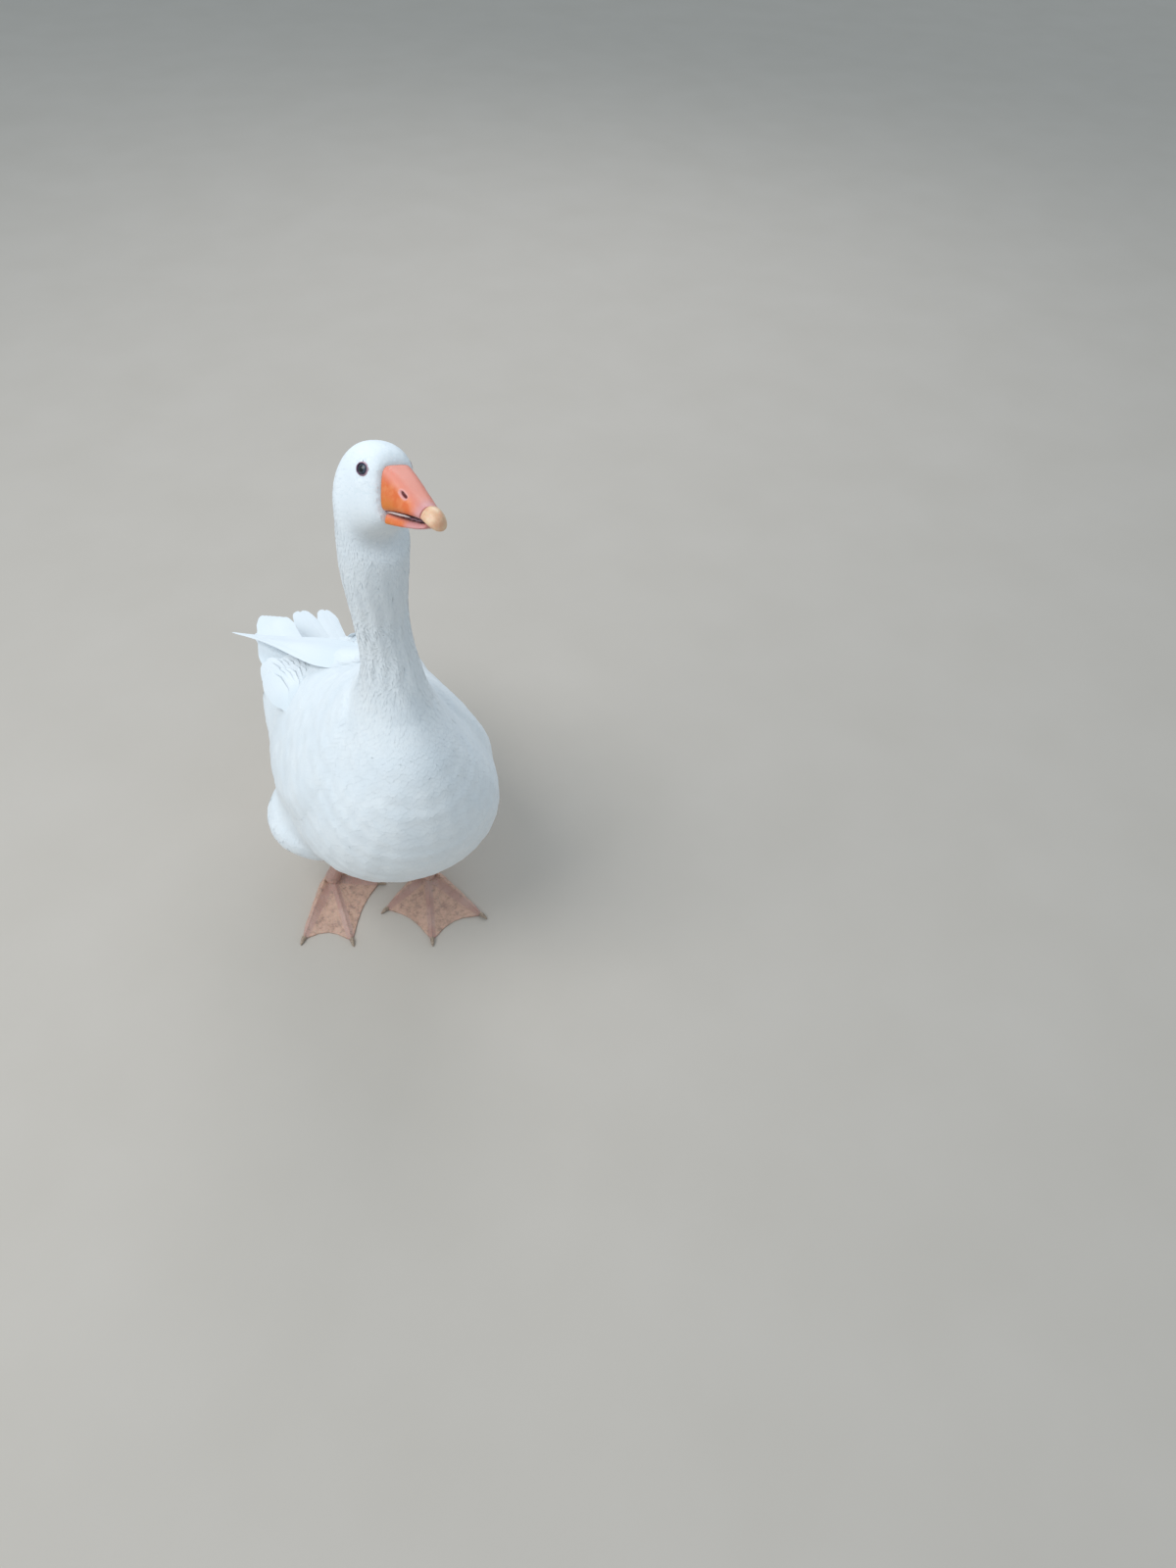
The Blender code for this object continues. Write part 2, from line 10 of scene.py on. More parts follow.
import bmesh
import bpy
import numpy as np
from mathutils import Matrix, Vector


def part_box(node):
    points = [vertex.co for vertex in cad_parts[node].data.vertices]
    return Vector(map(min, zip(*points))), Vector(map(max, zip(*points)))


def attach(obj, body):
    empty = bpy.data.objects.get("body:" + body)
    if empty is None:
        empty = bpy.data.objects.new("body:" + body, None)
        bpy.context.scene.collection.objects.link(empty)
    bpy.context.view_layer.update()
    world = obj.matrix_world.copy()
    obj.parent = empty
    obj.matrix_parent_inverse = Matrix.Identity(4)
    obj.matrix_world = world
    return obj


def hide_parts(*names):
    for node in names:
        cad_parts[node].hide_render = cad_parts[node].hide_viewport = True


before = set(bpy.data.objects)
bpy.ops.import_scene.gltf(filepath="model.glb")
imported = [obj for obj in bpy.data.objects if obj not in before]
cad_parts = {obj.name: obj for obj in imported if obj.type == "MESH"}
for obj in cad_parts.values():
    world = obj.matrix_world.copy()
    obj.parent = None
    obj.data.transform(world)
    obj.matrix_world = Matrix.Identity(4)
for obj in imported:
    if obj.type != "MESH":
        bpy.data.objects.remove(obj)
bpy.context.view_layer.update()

rng = np.random.default_rng(11)

# %% [markdown]
# ## Helpers for the finishes
# Every finish here is grown from nodes. One function turns a familiar sRGB hex colour into the linear
# numbers that a shader adds up, and one adds a node, sets it, and joins it to what feeds it. With these
# a finish is painted as on a bench: a base colour, then one colour over another, each where some pattern
# is strong, and the relief last.


# %% Colours and nodes
def linear(hex_colour):
    """sRGB to linear: near black divide by 12.92, else (c + 0.055) / 1.055 to the power 2.4."""
    value = np.array([int(hex_colour[i:i + 2], 16) for i in (1, 3, 5)]) / 255
    return (*np.where(value <= 0.04045, value / 12.92, ((value + 0.055) / 1.055) ** 2.4), 1.0)


def add(tree, kind, inputs=None, **settings):
    """Adds one node. settings are its properties. inputs gives a socket, by name or number, the output
    that feeds it, or else a constant, where a hex colour is turned to linear."""
    made = tree.nodes.new("ShaderNode" + kind)
    for key, value in settings.items():
        setattr(made, key, value)
    for key, value in (inputs or {}).items():
        if isinstance(value, bpy.types.NodeSocket):
            tree.links.new(value, made.inputs[key])
        else:
            made.inputs[key].default_value = linear(value) if isinstance(value, str) else value
    return made


def finish(name, **constants):
    """A material and its nodes. The constants sit on the sockets of its Principled shader."""
    material = bpy.data.materials.new(name)
    material.use_nodes = True
    tree = material.node_tree
    for key, value in constants.items():
        tree.nodes["Principled BSDF"].inputs[key.replace("_", " ")].default_value = value
    return material, tree


SMOOTH, COLOUR = {"interpolation_type": "SMOOTHSTEP"}, {"data_type": "RGBA"}


def painted(tree, colour, *layers):
    """Colours over one another. A layer (pattern, low, high, colour) hides nothing where its pattern is
    at low and everything where it is at high, with a smooth step between."""
    for pattern, low, high, over in layers:
        share = add(tree, "MapRange", {0: pattern, 1: low, 2: high}, **SMOOTH).outputs[0]
        colour = add(tree, "Mix", {0: share, 6: colour, 7: over}, **COLOUR).outputs[2]
    return colour


def dress(tree, colour, relief=None, strength=0.5, depth=0.0005):
    """Joins a colour to the shader, and a pattern as relief of a depth in metres."""
    shader = tree.nodes["Principled BSDF"]
    tree.links.new(colour, shader.inputs["Base Color"])
    if relief is not None:
        bump = add(tree, "Bump", {"Strength": strength, "Distance": depth, "Height": relief})
        tree.links.new(bump.outputs[0], shader.inputs["Normal"])


def mottled(name, scale, detail, one, two, between=None, bump=None, **constants):
    """A finish of two colours that follow one noise pattern, straight or in a smooth step between two of
    its values. bump is the strength and depth of the same pattern as relief."""
    material, tree = finish(name, **constants)
    place = add(tree, "TexCoord").outputs["Object"]
    pattern = add(tree, "TexNoise", {"Vector": place, "Scale": scale, "Detail": detail}).outputs[0]
    if between:
        colour = painted(tree, one, (pattern, *between, two))
    else:
        colour = add(tree, "Mix", {0: pattern, 6: one, 7: two}, **COLOUR).outputs[2]
    dress(tree, colour, *((pattern, *bump) if bump else ()))
    return material


print("white of a feather, linear:", np.round(linear("#F4F6F8"), 3))

# %% [markdown]
# ## Meshes from arrays
# A shape in this lesson is a formula over two parameters, worked out for all its points at once. This
# cell turns such arrays into Blender meshes. A rolled shape is a stack of rings, closed at both ends by
# a fan round a middle point, and its faces are turned outward by the sign of its volume.


# %% Arrays to meshes
def circle(n):
    """n evenly spaced angles, from 0."""
    return np.linspace(0, math.tau, n, endpoint=False)


def dots(one, two):
    """The dot products of two arrays of vectors, row by row."""
    return np.einsum("ij,ij->i", one, two)


def link(name, data):
    """A new object in the scene."""
    made = bpy.data.objects.new(name, data)
    bpy.context.scene.collection.objects.link(made)
    return made


def build(name, points, quads, triangles=(), maps=None, values=None, rim=None):
    """A smooth object at the origin. maps are UV maps and values are attributes, given per point. An edge
    between two points of the rim is sharp, so the two faces of a vane are shaded apart."""
    points = np.asarray(points, np.float32).reshape(-1, 3)
    quads = np.asarray(quads, np.int32).reshape(-1, 4)
    triangles = np.asarray(triangles, np.int32).reshape(-1, 3)
    corners = np.concatenate([quads.ravel(), triangles.ravel()])
    sizes = np.concatenate([np.full(len(quads), 4), np.full(len(triangles), 3)])
    mesh = bpy.data.meshes.new(name)
    mesh.vertices.add(len(points))
    mesh.vertices.foreach_set("co", points.ravel())
    mesh.loops.add(len(corners))
    mesh.loops.foreach_set("vertex_index", corners)
    mesh.polygons.add(len(sizes))
    mesh.polygons.foreach_set("loop_start", (np.cumsum(sizes) - sizes).astype(np.int32))
    mesh.update(calc_edges=True)
    for key, uv in (maps or {}).items():
        layer = mesh.uv_layers.new(name=key)
        layer.data.foreach_set("uv", np.asarray(uv, np.float32).reshape(-1, 2)[corners].ravel())
    for key, value in (values or {}).items():
        layer = mesh.attributes.new(key, "FLOAT", "POINT")
        layer.data.foreach_set("value", np.asarray(value, np.float32).ravel())
    mesh.shade_smooth()
    if rim is not None:
        ends = np.empty(2 * len(mesh.edges), np.int32)
        mesh.edges.foreach_get("vertices", ends)
        mesh.edges.foreach_set("use_edge_sharp", np.asarray(rim, bool)[ends].reshape(-1, 2).all(1))
    return link(name, mesh)


print("a circle of 4 angles:", np.round(circle(4), 2).tolist())


# %% Rolled shapes
def outward_faces(points, quads, triangles):
    """The same faces, turned round when the volume they close comes out negative."""
    halves = np.concatenate([quads[:, [0, 1, 2]], quads[:, [0, 2, 3]], triangles])
    a, b, c = (points[halves[:, i]] for i in range(3))
    if dots(a, np.cross(b, c)).sum() < 0:
        return quads[:, ::-1], triangles[:, ::-1]
    return quads, triangles


def rolled(rings):
    """Points and faces round a stack of rings, one point in the middle of each end."""
    count, n = rings.shape[:2]
    points = np.concatenate([rings.reshape(-1, 3), rings[:1].mean(1), rings[-1:].mean(1)])
    grid = np.arange(count * n).reshape(count, n)
    after = np.roll(grid, -1, 1)
    quads = np.stack([grid[:-1], after[:-1], after[1:], grid[1:]], -1).reshape(-1, 4)
    near = np.stack([after[0], grid[0], np.full(n, count * n)], -1)
    far = np.stack([grid[-1], after[-1], np.full(n, count * n + 1)], -1)
    return (points, *outward_faces(points, quads, np.concatenate([near, far])))


def stacked(parts):
    """Several (points, quads, triangles) as one."""
    starts = np.cumsum([0] + [len(part[0]) for part in parts[:-1]])
    points = np.concatenate([part[0] for part in parts])
    quads = np.concatenate([part[1] + start for part, start in zip(parts, starts)])
    triangles = np.concatenate([part[2] + start for part, start in zip(parts, starts)])
    return points, quads, triangles


def put_on(piece, materials, nodes=()):
    """Everything a piece needs: its body, its materials, and the nodes of the frame that it stands for."""
    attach(piece, "root")
    for material in materials:
        piece.data.materials.append(material)
    if nodes:
        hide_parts(*nodes)
    return piece


fans = rolled(np.eye(8)[:, :3].reshape(2, 4, 3))[2]
print("a ring of 4 points, 2 high, closes with", len(fans), "triangles")

# %% [markdown]
# ## The goose as one long loft
# Head, neck and trunk are one tube through rings. Each ring leans in the plane of symmetry, so it is
# kept as its lowest and highest point, its half width, how pear-shaped and how round it is. Feathers
# are planted on this loft, by how far along it they stand and at which angle round it, because that is
# how they grow: in rows that run from the bill to the tail.

# %% The rings
HEAD = (  # lowest point and highest point (forward, up) in the head's own frame, half width, pear, round
    ((0.0040, -0.0120), (-0.0010, 0.0380), 0.0185, 0.04, 0.60),
    ((-0.0040, -0.0180), (-0.0070, 0.0450), 0.0228, 0.04, 0.68),
    ((-0.0120, -0.0225), (-0.0160, 0.0492), 0.0255, 0.02, 0.72),
    ((-0.0200, -0.0265), (-0.0290, 0.0512), 0.0282, 0.02, 0.78),
    ((-0.0260, -0.0310), (-0.0440, 0.0492), 0.0305, 0.04, 0.86),
    ((-0.0290, -0.0370), (-0.0600, 0.0400), 0.0328, 0.05, 0.94),
    ((-0.0290, -0.0460), (-0.0725, 0.0240), 0.0344, 0.04, 1.0),
    ((-0.0270, -0.0580), (-0.0800, 0.0000), 0.0346, 0.02, 1.0),
)
BODY = (  # the same, but forward and up in the goose's frame
    (0.1460, 0.5660, 0.0790, 0.5980, 0.0328, 0.0, 1.0),
    (0.1405, 0.5290, 0.0780, 0.5520, 0.0285, 0.0, 1.0),
    (0.1400, 0.4930, 0.0750, 0.5050, 0.0268, 0.0, 1.0),
    (0.1450, 0.4560, 0.0680, 0.4600, 0.0286, 0.0, 1.0),
    (0.1560, 0.4120, 0.0500, 0.4180, 0.0360, 0.0, 1.0),
    (0.1820, 0.3640, 0.0140, 0.3770, 0.0540, 0.12, 1.0),
    (0.1980, 0.3000, -0.0250, 0.3480, 0.0790, 0.24, 1.0),
    (0.1930, 0.2320, -0.0550, 0.3270, 0.1000, 0.28, 1.0),
    (0.1630, 0.1710, -0.0820, 0.3120, 0.1130, 0.28, 1.0),
    (0.1120, 0.1240, -0.1050, 0.2990, 0.1190, 0.26, 1.0),
    (0.0500, 0.0990, -0.1260, 0.2870, 0.1180, 0.22, 1.0),
    (-0.0200, 0.0950, -0.1440, 0.2720, 0.1090, 0.18, 1.0),
    (-0.0750, 0.1120, -0.1590, 0.2560, 0.0960, 0.12, 1.0),
    (-0.1150, 0.1440, -0.1720, 0.2410, 0.0800, 0.06, 1.0),
    (-0.1420, 0.1750, -0.1820, 0.2280, 0.0620, 0.0, 1.0),
)
HEAD_AT, SKULL_BASE = (0.159, 0.665), (0.120, 0.645)
HEAD_PITCH, HEAD_TURN, HEAD_TILT = math.radians(16), math.radians(12), math.radians(17)
HEAD_LEAN, NECK_BOW = -0.007, 0.006
CHEEK, NECK_FOOT = 4, 12  # ring counts along the loft
EYE_AT = (2.05, 1.95)  # ring count, and angle from the belly
SIDES = {"left": 1, "right": -1}
print("the loft has", len(HEAD), "rings in the head and", len(BODY), "behind it")


# %% Curves
def smooth_step(value):
    """0 to 1 with a level start and end: 3 t squared less 2 t cubed."""
    t = np.clip(value, 0, 1)
    return t * t * (3 - 2 * t)


def catmull(values, at):
    """A smooth curve through rows of values, read at the places in at, which count rows."""
    values = np.asarray(values, float)
    last = len(values) - 1
    at = np.clip(np.asarray(at, float), 0, last)
    i = np.minimum(at.astype(int), last - 1)
    t = (at - i)[..., None]
    before, after = values[np.maximum(i - 1, 0)], values[np.minimum(i + 2, last)]
    here, there = values[i], values[i + 1]
    bend, jerk = 2 * before - 5 * here + 4 * there - after, 3 * here - before - 3 * there + after
    return (2 * here + (there - before) * t + bend * t**2 + jerk * t**3) / 2


print("half way between 0, 1 and 4 the curve is at", catmull([[0], [1], [4]], [0.5, 1.5]).ravel())


# %% The head's pose
def pitched(forward, up):
    """The head's own forward and up, in the plane of symmetry."""
    c, s = math.cos(HEAD_PITCH), math.sin(HEAD_PITCH)
    return HEAD_AT[0] + forward * c - up * s, HEAD_AT[1] + forward * s + up * c


def turned(forward, left, up, share):
    """Points tilted, then turned, about the skull's base by a share of the head's pose."""
    forward, up = forward - SKULL_BASE[0], up - SKULL_BASE[1]
    tilt, turn = HEAD_TILT * share, HEAD_TURN * share
    left, up = left * np.cos(tilt) + up * np.sin(tilt), up * np.cos(tilt) - left * np.sin(tilt)
    ahead = forward * np.cos(turn) - left * np.sin(turn) + SKULL_BASE[0]
    beside = forward * np.sin(turn) + left * np.cos(turn)
    beside = beside + HEAD_LEAN * share + NECK_BOW * 4 * share * (1 - share)
    return placed(ahead, beside, up + SKULL_BASE[1])


def placed(forward, left, up):
    """Forward, left and up as x, y and z."""
    return np.stack(np.broadcast_arrays(left, -np.asarray(forward), up), -1) - MIDDLE


print("the head is pitched up by", round(math.degrees(HEAD_PITCH)), "degrees")


# %% The loft
def squared(value, roundness):
    """A sine or cosine pushed outward, which turns an ellipse towards a rectangle."""
    return np.sign(value) * np.abs(value) ** roundness


RINGS = np.array([(*pitched(*low), *pitched(*high), *shape) for low, high, *shape in HEAD] + list(BODY))


def loft(s, angle):
    """The loft at ring count s and an angle round the ring, 0 at the belly and pi at the back: a point
    at (1 - cosine) / 2 of the way up the leaning ring, out by the half width times the sine."""
    s, angle = np.broadcast_arrays(np.asarray(s, float), np.asarray(angle, float))
    ring = np.moveaxis(catmull(RINGS, s), -1, 0)
    low_forward, low_up, high_forward, high_up, width, pear, roundness = ring
    cosine, sine = squared(np.cos(angle), roundness), squared(np.sin(angle), roundness)
    rise = (1 - cosine) / 2
    share = smooth_step((NECK_FOOT - s) / (NECK_FOOT - CHEEK))
    forward, up = low_forward + (high_forward - low_forward) * rise, low_up + (high_up - low_up) * rise
    return turned(forward, width * sine * (1 + pear * cosine), up, share)


def unit(vectors):
    """Vectors at length 1."""
    return vectors / np.maximum(np.linalg.norm(vectors, axis=-1, keepdims=True), 1e-12)


def loft_normal(s, angle):
    """The outward direction, across small steps along and round the loft."""
    step = 1e-3
    along = loft(s + step, angle) - loft(s - step, angle)
    return unit(np.cross(along, loft(s, angle + step) - loft(s, angle - step)))


def from_head(forward, left, up):
    """Points given in the head's own frame, whose middle is the root of the bill at the mouth line."""
    ahead, height = pitched(np.asarray(forward, float), np.asarray(up, float))
    return turned(ahead, np.asarray(left, float), height, 1.0)


def middle(node):
    """The middle of a CAD node's box."""
    low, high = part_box(node)
    return (np.array(low) + np.array(high)) / 2


print("in all the loft has", len(RINGS), "rings")

# %% Where the loft stands
EYE_RADIUS, EYE_PROUD = 0.0068, 0.0016
MIDDLE = np.zeros(3)  # the frame's origin in the loft, which the next lines find by the left eye
eye_in_loft = loft(*EYE_AT) + (EYE_PROUD - EYE_RADIUS) * loft_normal(*EYE_AT)
MIDDLE = eye_in_loft - middle("eye_left")
print("the loft is moved by", np.round(MIDDLE, 4), "so that its left eye is where the frame's is")

# %% [markdown]
# ## The form under the feathers
# The solids meet with hair-thin gaps. A voxel remesh of all the fleshy solids together closes those
# gaps and rounds the creases, as skin does over muscle. Feathers are then laid on this form: a point
# near it is dropped to the nearest place, and the outward direction there is read as well.


# %% Reading and smoothing
def solids(*nodes):
    """The meshes of some of the frame's nodes."""
    return [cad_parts[name].data for name in nodes]


def finished(made):
    """An object's mesh with its modifiers applied."""
    return made.evaluated_get(bpy.context.evaluated_depsgraph_get()).data


def read_points(mesh):
    """A mesh's points as an array."""
    points = np.empty(len(mesh.vertices) * 3, np.float32)
    mesh.vertices.foreach_get("co", points)
    return points.reshape(-1, 3).astype(float)


def read(mesh):
    """A mesh's points, outward directions and quads, as arrays."""
    normals, corners = np.empty(len(mesh.vertices) * 3, np.float32), np.empty(len(mesh.loops), np.int32)
    mesh.vertex_normals.foreach_get("vector", normals)
    mesh.loops.foreach_get("vertex_index", corners)
    return read_points(mesh), normals.reshape(-1, 3).astype(float), corners.reshape(-1, 4)


def move_to(made, points):
    """Gives an object's mesh new places for its points."""
    made.data.vertices.foreach_set("co", points.astype(np.float32).ravel())
    made.data.update()


def soften(made, passes):
    """Adds passes of smoothing, each of which takes a point half way to the middle of its neighbours."""
    smoothing = made.modifiers.new("soften", "SMOOTH")
    smoothing.factor, smoothing.iterations = 0.5, passes


print("the trunk's solid has", len(read_points(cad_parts["trunk"].data)), "points")


# %% Fusing solids
def outermost(points, quads):
    """The largest connected part. Each point takes the lowest number among its neighbours' until nothing
    changes, so that every part ends with a number of its own."""
    part, before = np.arange(len(points)), None
    while before is None or (part != before).any():
        before = part.copy()
        lowest = part[quads].min(1)
        for column in quads.T:
            np.minimum.at(part, column, lowest)
        part = part[part]
    kept = part == np.bincount(part).argmax()
    number = np.cumsum(kept) - 1
    return points[kept], number[quads[kept[quads[:, 0]]]]


def fused(name, meshes, voxel, passes, part=lambda points, quads: (points, quads)):
    """A copy of some solids with doubles merged, remeshed in voxels and smoothed, or one part of that."""
    work = bmesh.new()
    for solid in meshes:
        work.from_mesh(solid)
    bmesh.ops.remove_doubles(work, verts=work.verts, dist=1e-6)
    mesh = bpy.data.meshes.new(name)
    work.to_mesh(mesh)
    work.free()
    made = link(name, mesh)
    union = made.modifiers.new("union", "REMESH")
    union.mode, union.voxel_size, union.use_smooth_shade = "VOXEL", voxel, True
    soften(made, passes)
    points, _, quads = read(finished(made))
    bpy.data.objects.remove(made)
    return build(name, *part(points, quads))


BODY_VOXEL, LEG_VOXEL = 0.0032, 0.00085
print("the body is fused in voxels of", 1000 * BODY_VOXEL, "mm, a leg in voxels of", 1000 * LEG_VOXEL, "mm")


# %% The bed of a blade
BLADES = {  # root and tip (forward, left, up), half width at each, how much shorter each next feather is,
    # how pointed and how rounded its tip is
    "left": ((-0.050, 0.020, 0.3290), (-0.240, -0.116, 0.2640), 0.0240, 0.0030, 0.0080, 0.86, 0.05),
    "right": ((-0.120, -0.071, 0.2780), (-0.262, -0.057, 0.2620), 0.0200, 0.0130, 0.0030, 0.30, 0.14),
}


def mound():
    """An ellipsoid that carries the root of the left blade: 70 mm along it, 28 mm across, 12 mm up."""
    root, tip = (placed(*np.array(spot)) for spot in BLADES["left"][:2])
    run = unit(tip - root)
    beside = unit(np.cross(run, (0, 0, 1)))
    polar = np.linspace(0.05, math.pi - 0.05, 24)[:, None, None]
    turn = circle(32)[:, None]
    across = 0.028 * np.cos(turn) * beside + 0.012 * np.sin(turn) * np.cross(beside, run)
    centre = root + 0.030 * run - [0, 0, 0.013]
    return build("mound", *rolled(centre + 0.070 * np.cos(polar) * run + np.sin(polar) * across))


blade_bed = mound()
print("the left wing's blade rests on a mound of", len(blade_bed.data.polygons), "faces")


# %% Hollows, furrows and dabs
def fill_hollows(made, rounds, low, high):
    """Raises the hollows between two heights: in each round a copy with that many passes of smoothing is
    followed wherever it lies outside, and hills keep their height."""
    for passes in rounds:
        points, normals, _ = read(made.data)
        soften(made, passes)
        relaxed = read_points(finished(made))
        made.modifiers.clear()
        here = smooth_step((points[:, 2] - low) / 0.03) * smooth_step((high - points[:, 2]) / 0.05)
        gain = np.clip(dots(relaxed - points, normals), 0, 0.02) * here
        move_to(made, points + normals * gain[:, None])


RIDGES = 15  # ridges round the neck


def ridge_phase(s, angle):
    """Grows by a turn from one ridge of the neck to the next. The ridges wander as they run down."""
    wander = 0.55 * np.sin(1.9 * s + 2 * angle) + 0.35 * np.sin(4.1 * s - angle)
    return RIDGES * angle + 2.2 * wander


def around(count):
    """Evenly spaced angles round the loft."""
    return (np.arange(count) + 0.5) / count * math.tau


def ruffle(made):
    """Presses the neck's furrows in, 0.5 mm either way, and raises soft dabs on the breast: the mean of
    five waves about 20 mm long. A point's ring count is read off its height, and its angle about the
    middle of the ring there."""
    points, normals, _ = read(made.data)
    s = np.linspace(12.6, 6.6, 60)
    centres = loft(s[:, None], around(24)).mean(1)
    row, x, y = (np.interp(points[:, 2], centres[:, 2], value) for value in (s, *centres.T[:2]))
    angle = np.arctan2(points[:, 0] - x, y - points[:, 1])
    on_neck = smooth_step((row - 7.2) / 1.2) * smooth_step((12.3 - row) / 1.0)
    waves = np.sin(points @ rng.normal(0, 190, (3, 5)) + rng.uniform(0, math.tau, 5)).mean(1)
    on_breast = smooth_step((0.40 - points[:, 2]) / 0.06) * smooth_step((0.10 - points[:, 1]) / 0.10)
    furrow = 0.5 + 0.5 * np.cos(ridge_phase(row, angle))
    rise = 0.0010 * (furrow - 0.5) * on_neck + 0.0011 * waves * on_breast
    move_to(made, points + normals * rise[:, None])


print("a furrow runs down the neck every", 360 // RIDGES, "degrees")

# %% The form itself
FLESH = ["head", "neck_upper", "neck_lower", "trunk"]
FLESH += [part + side for part in ("wing_", "thigh_") for side in SIDES]
under_coat = solids(*FLESH, "eye_left", "eye_right") + [blade_bed.data]
form = fused("form", under_coat, BODY_VOXEL, 14, outermost)
bpy.data.objects.remove(blade_bed)
fill_hollows(form, [180] * 8 + [20], 0.078, 0.260)
ruffle(form)
print("the form has", len(form.data.polygons), "quads")


# %% Laying things on the form
def on_form(points):
    """The nearest places on the form and the outward directions there, by wrapping the points on it
    twice, the second time 1 mm off."""
    shape = np.shape(points)
    probe = build("probe", points, np.zeros((0, 4)))
    wrap = probe.modifiers.new("wrap", "SHRINKWRAP")
    wrap.target, wrap.wrap_method, wrap.wrap_mode = form, "NEAREST_SURFACEPOINT", "ABOVE_SURFACE"
    places = []
    for wrap.offset in (0.0, 0.001):
        bpy.context.view_layer.update()
        places.append(read_points(finished(probe)))
    bpy.data.objects.remove(probe)
    return places[0].reshape(shape), unit(places[1] - places[0]).reshape(shape)


print("the form's place under the belly's first ring:", np.round(on_form(loft(15, [0.0]))[0], 3).tolist())

# %% [markdown]
# ## The finishes of the plumage
# A white feather is clear keratin full of air, so it scatters nearly all light, with a faint cool cast in
# its depth. Its vane is combed into barbs that leave the shaft at an angle, about three to a millimetre.
# That is too fine to show here, so the barbs are drawn about 1.3 mm apart. Every vane carries a map in
# metres across and along it, so that the barbs are as wide on a small feather as on a large one.

# %% Feather and down
BARB = 0.0013  # metres between two drawn barbs


def feather(name, barb_height, shaft_height):
    """White vane: barbs slant from a raised shaft, each feather's tone differs a little, the part near
    the root is painted greyer as shade under the row above, and very soft blotches break up the white."""
    material, tree = finish(name, Roughness=0.62, Sheen_Weight=0.12, Sheen_Roughness=0.5)
    place = add(tree, "TexCoord").outputs["Object"]
    vane = add(tree, "SeparateXYZ", {0: add(tree, "UVMap", uv_map="Vane").outputs[0]})
    aside = add(tree, "Math", {0: vane.outputs[0]}, operation="ABSOLUTE").outputs[0]
    along = vane.outputs[1]
    slanted = add(tree, "Math", {0: aside, 1: -0.9, 2: along}, operation="MULTIPLY_ADD").outputs[0]
    stray = add(tree, "TexNoise", {"Vector": place, "Scale": 240.0, "Detail": 2.0}).outputs[0]
    swayed = add(tree, "Math", {0: stray, 1: 0.0016, 2: slanted}, operation="MULTIPLY_ADD").outputs[0]
    wave = add(tree, "Math", {0: swayed, 1: math.tau / BARB}, operation="MULTIPLY").outputs[0]
    barbs = add(tree, "Math", {0: wave}, operation="SINE").outputs[0]
    shaft = add(tree, "MapRange", {0: aside, 1: 0.0009, 2: 0.0002}, **SMOOTH).outputs[0]
    relief = add(tree, "Math", {0: barbs, 1: barb_height}, operation="MULTIPLY").outputs[0]
    relief = add(tree, "Math", {0: shaft, 1: shaft_height, 2: relief}, operation="MULTIPLY_ADD").outputs[0]
    tone = add(tree, "Attribute", attribute_name="tone").outputs["Fac"]
    reach = add(tree, "Attribute", attribute_name="reach").outputs["Fac"]
    blotch = add(tree, "TexNoise", {"Vector": place, "Scale": 26.0, "Detail": 3.0}).outputs[0]
    vane_white = add(tree, "Mix", {0: tone, 6: "#F7F9FA", 7: "#F1F4F6"}, **COLOUR).outputs[2]
    # Painted shade: each vane turns greyer towards its root, where it lies under the row above.
    white = painted(tree, vane_white, (blotch, 0.35, 0.75, "#EFF3F6"), (reach, 0.60, 0.20, "#EBF0F3"))
    dress(tree, white, relief, 0.5, 1.0)
    return material


contour_feather = feather("contour feather", 0.000008, 0.000006)
flight_feather = feather("flight feather", 0.000016, 0.00016)

down = mottled("white down on skin", 900.0, 3.0, "#E6ECF0", "#F4F7F8", bump=(0.4, 0.0008), Roughness=0.9)
print("a feather is drawn with", round(0.03 / BARB), "barbs in 30 mm of vane")

# %% [markdown]
# ## The skin of the legs
# A goose's feet are bare: scutes, which are low overlapping plates, run down the front of each toe,
# and the web between is fine grained, thin and a little translucent. Toes are dusty salmon pink, webs
# are paler and yellower with grey-brown grime in the grain. An attribute on the mesh says what is toe,
# and another where the creases between the plates lie, which are painted dark as shade.

# %% Bare leg skin
leg_skin, tree = finish("bare leg skin", Roughness=0.55, Subsurface_Weight=0.10, Subsurface_Scale=0.002)
place = add(tree, "TexCoord").outputs["Object"]
toe = add(tree, "Attribute", attribute_name="toe").outputs["Fac"]
scute = add(tree, "Attribute", attribute_name="scute").outputs["Fac"]
dirt = {"Vector": place, "Scale": 150.0, "Detail": 6.0, "Roughness": 0.72}
grime = add(tree, "TexNoise", dirt).outputs[0]
patch = add(tree, "TexNoise", {"Vector": place, "Scale": 32.0, "Detail": 2.0}).outputs[0]
grain = add(tree, "TexVoronoi", {"Vector": place, "Scale": 620.0}, feature="F1").outputs["Distance"]
web_colour = painted(tree, "#D6AE98", (grime, 0.36, 0.70, "#B99482"))
toe_colour = painted(tree, "#BE9486", (patch, 0.35, 0.70, "#CBA698"))
skin_colour = add(tree, "Mix", {0: toe, 6: web_colour, 7: toe_colour}, **COLOUR).outputs[2]
# Grey-brown grime in the grain, then painted shade: dark brown in the creases between the plates.
grimed_and_crease_shaded = painted(tree, skin_colour, (grime, 0.50, 0.80, "#9C8074"), (scute, 0.30, 0.02, "#7E5B4E"))
dress(tree, grimed_and_crease_shaded, grain, 0.5, 0.0005)

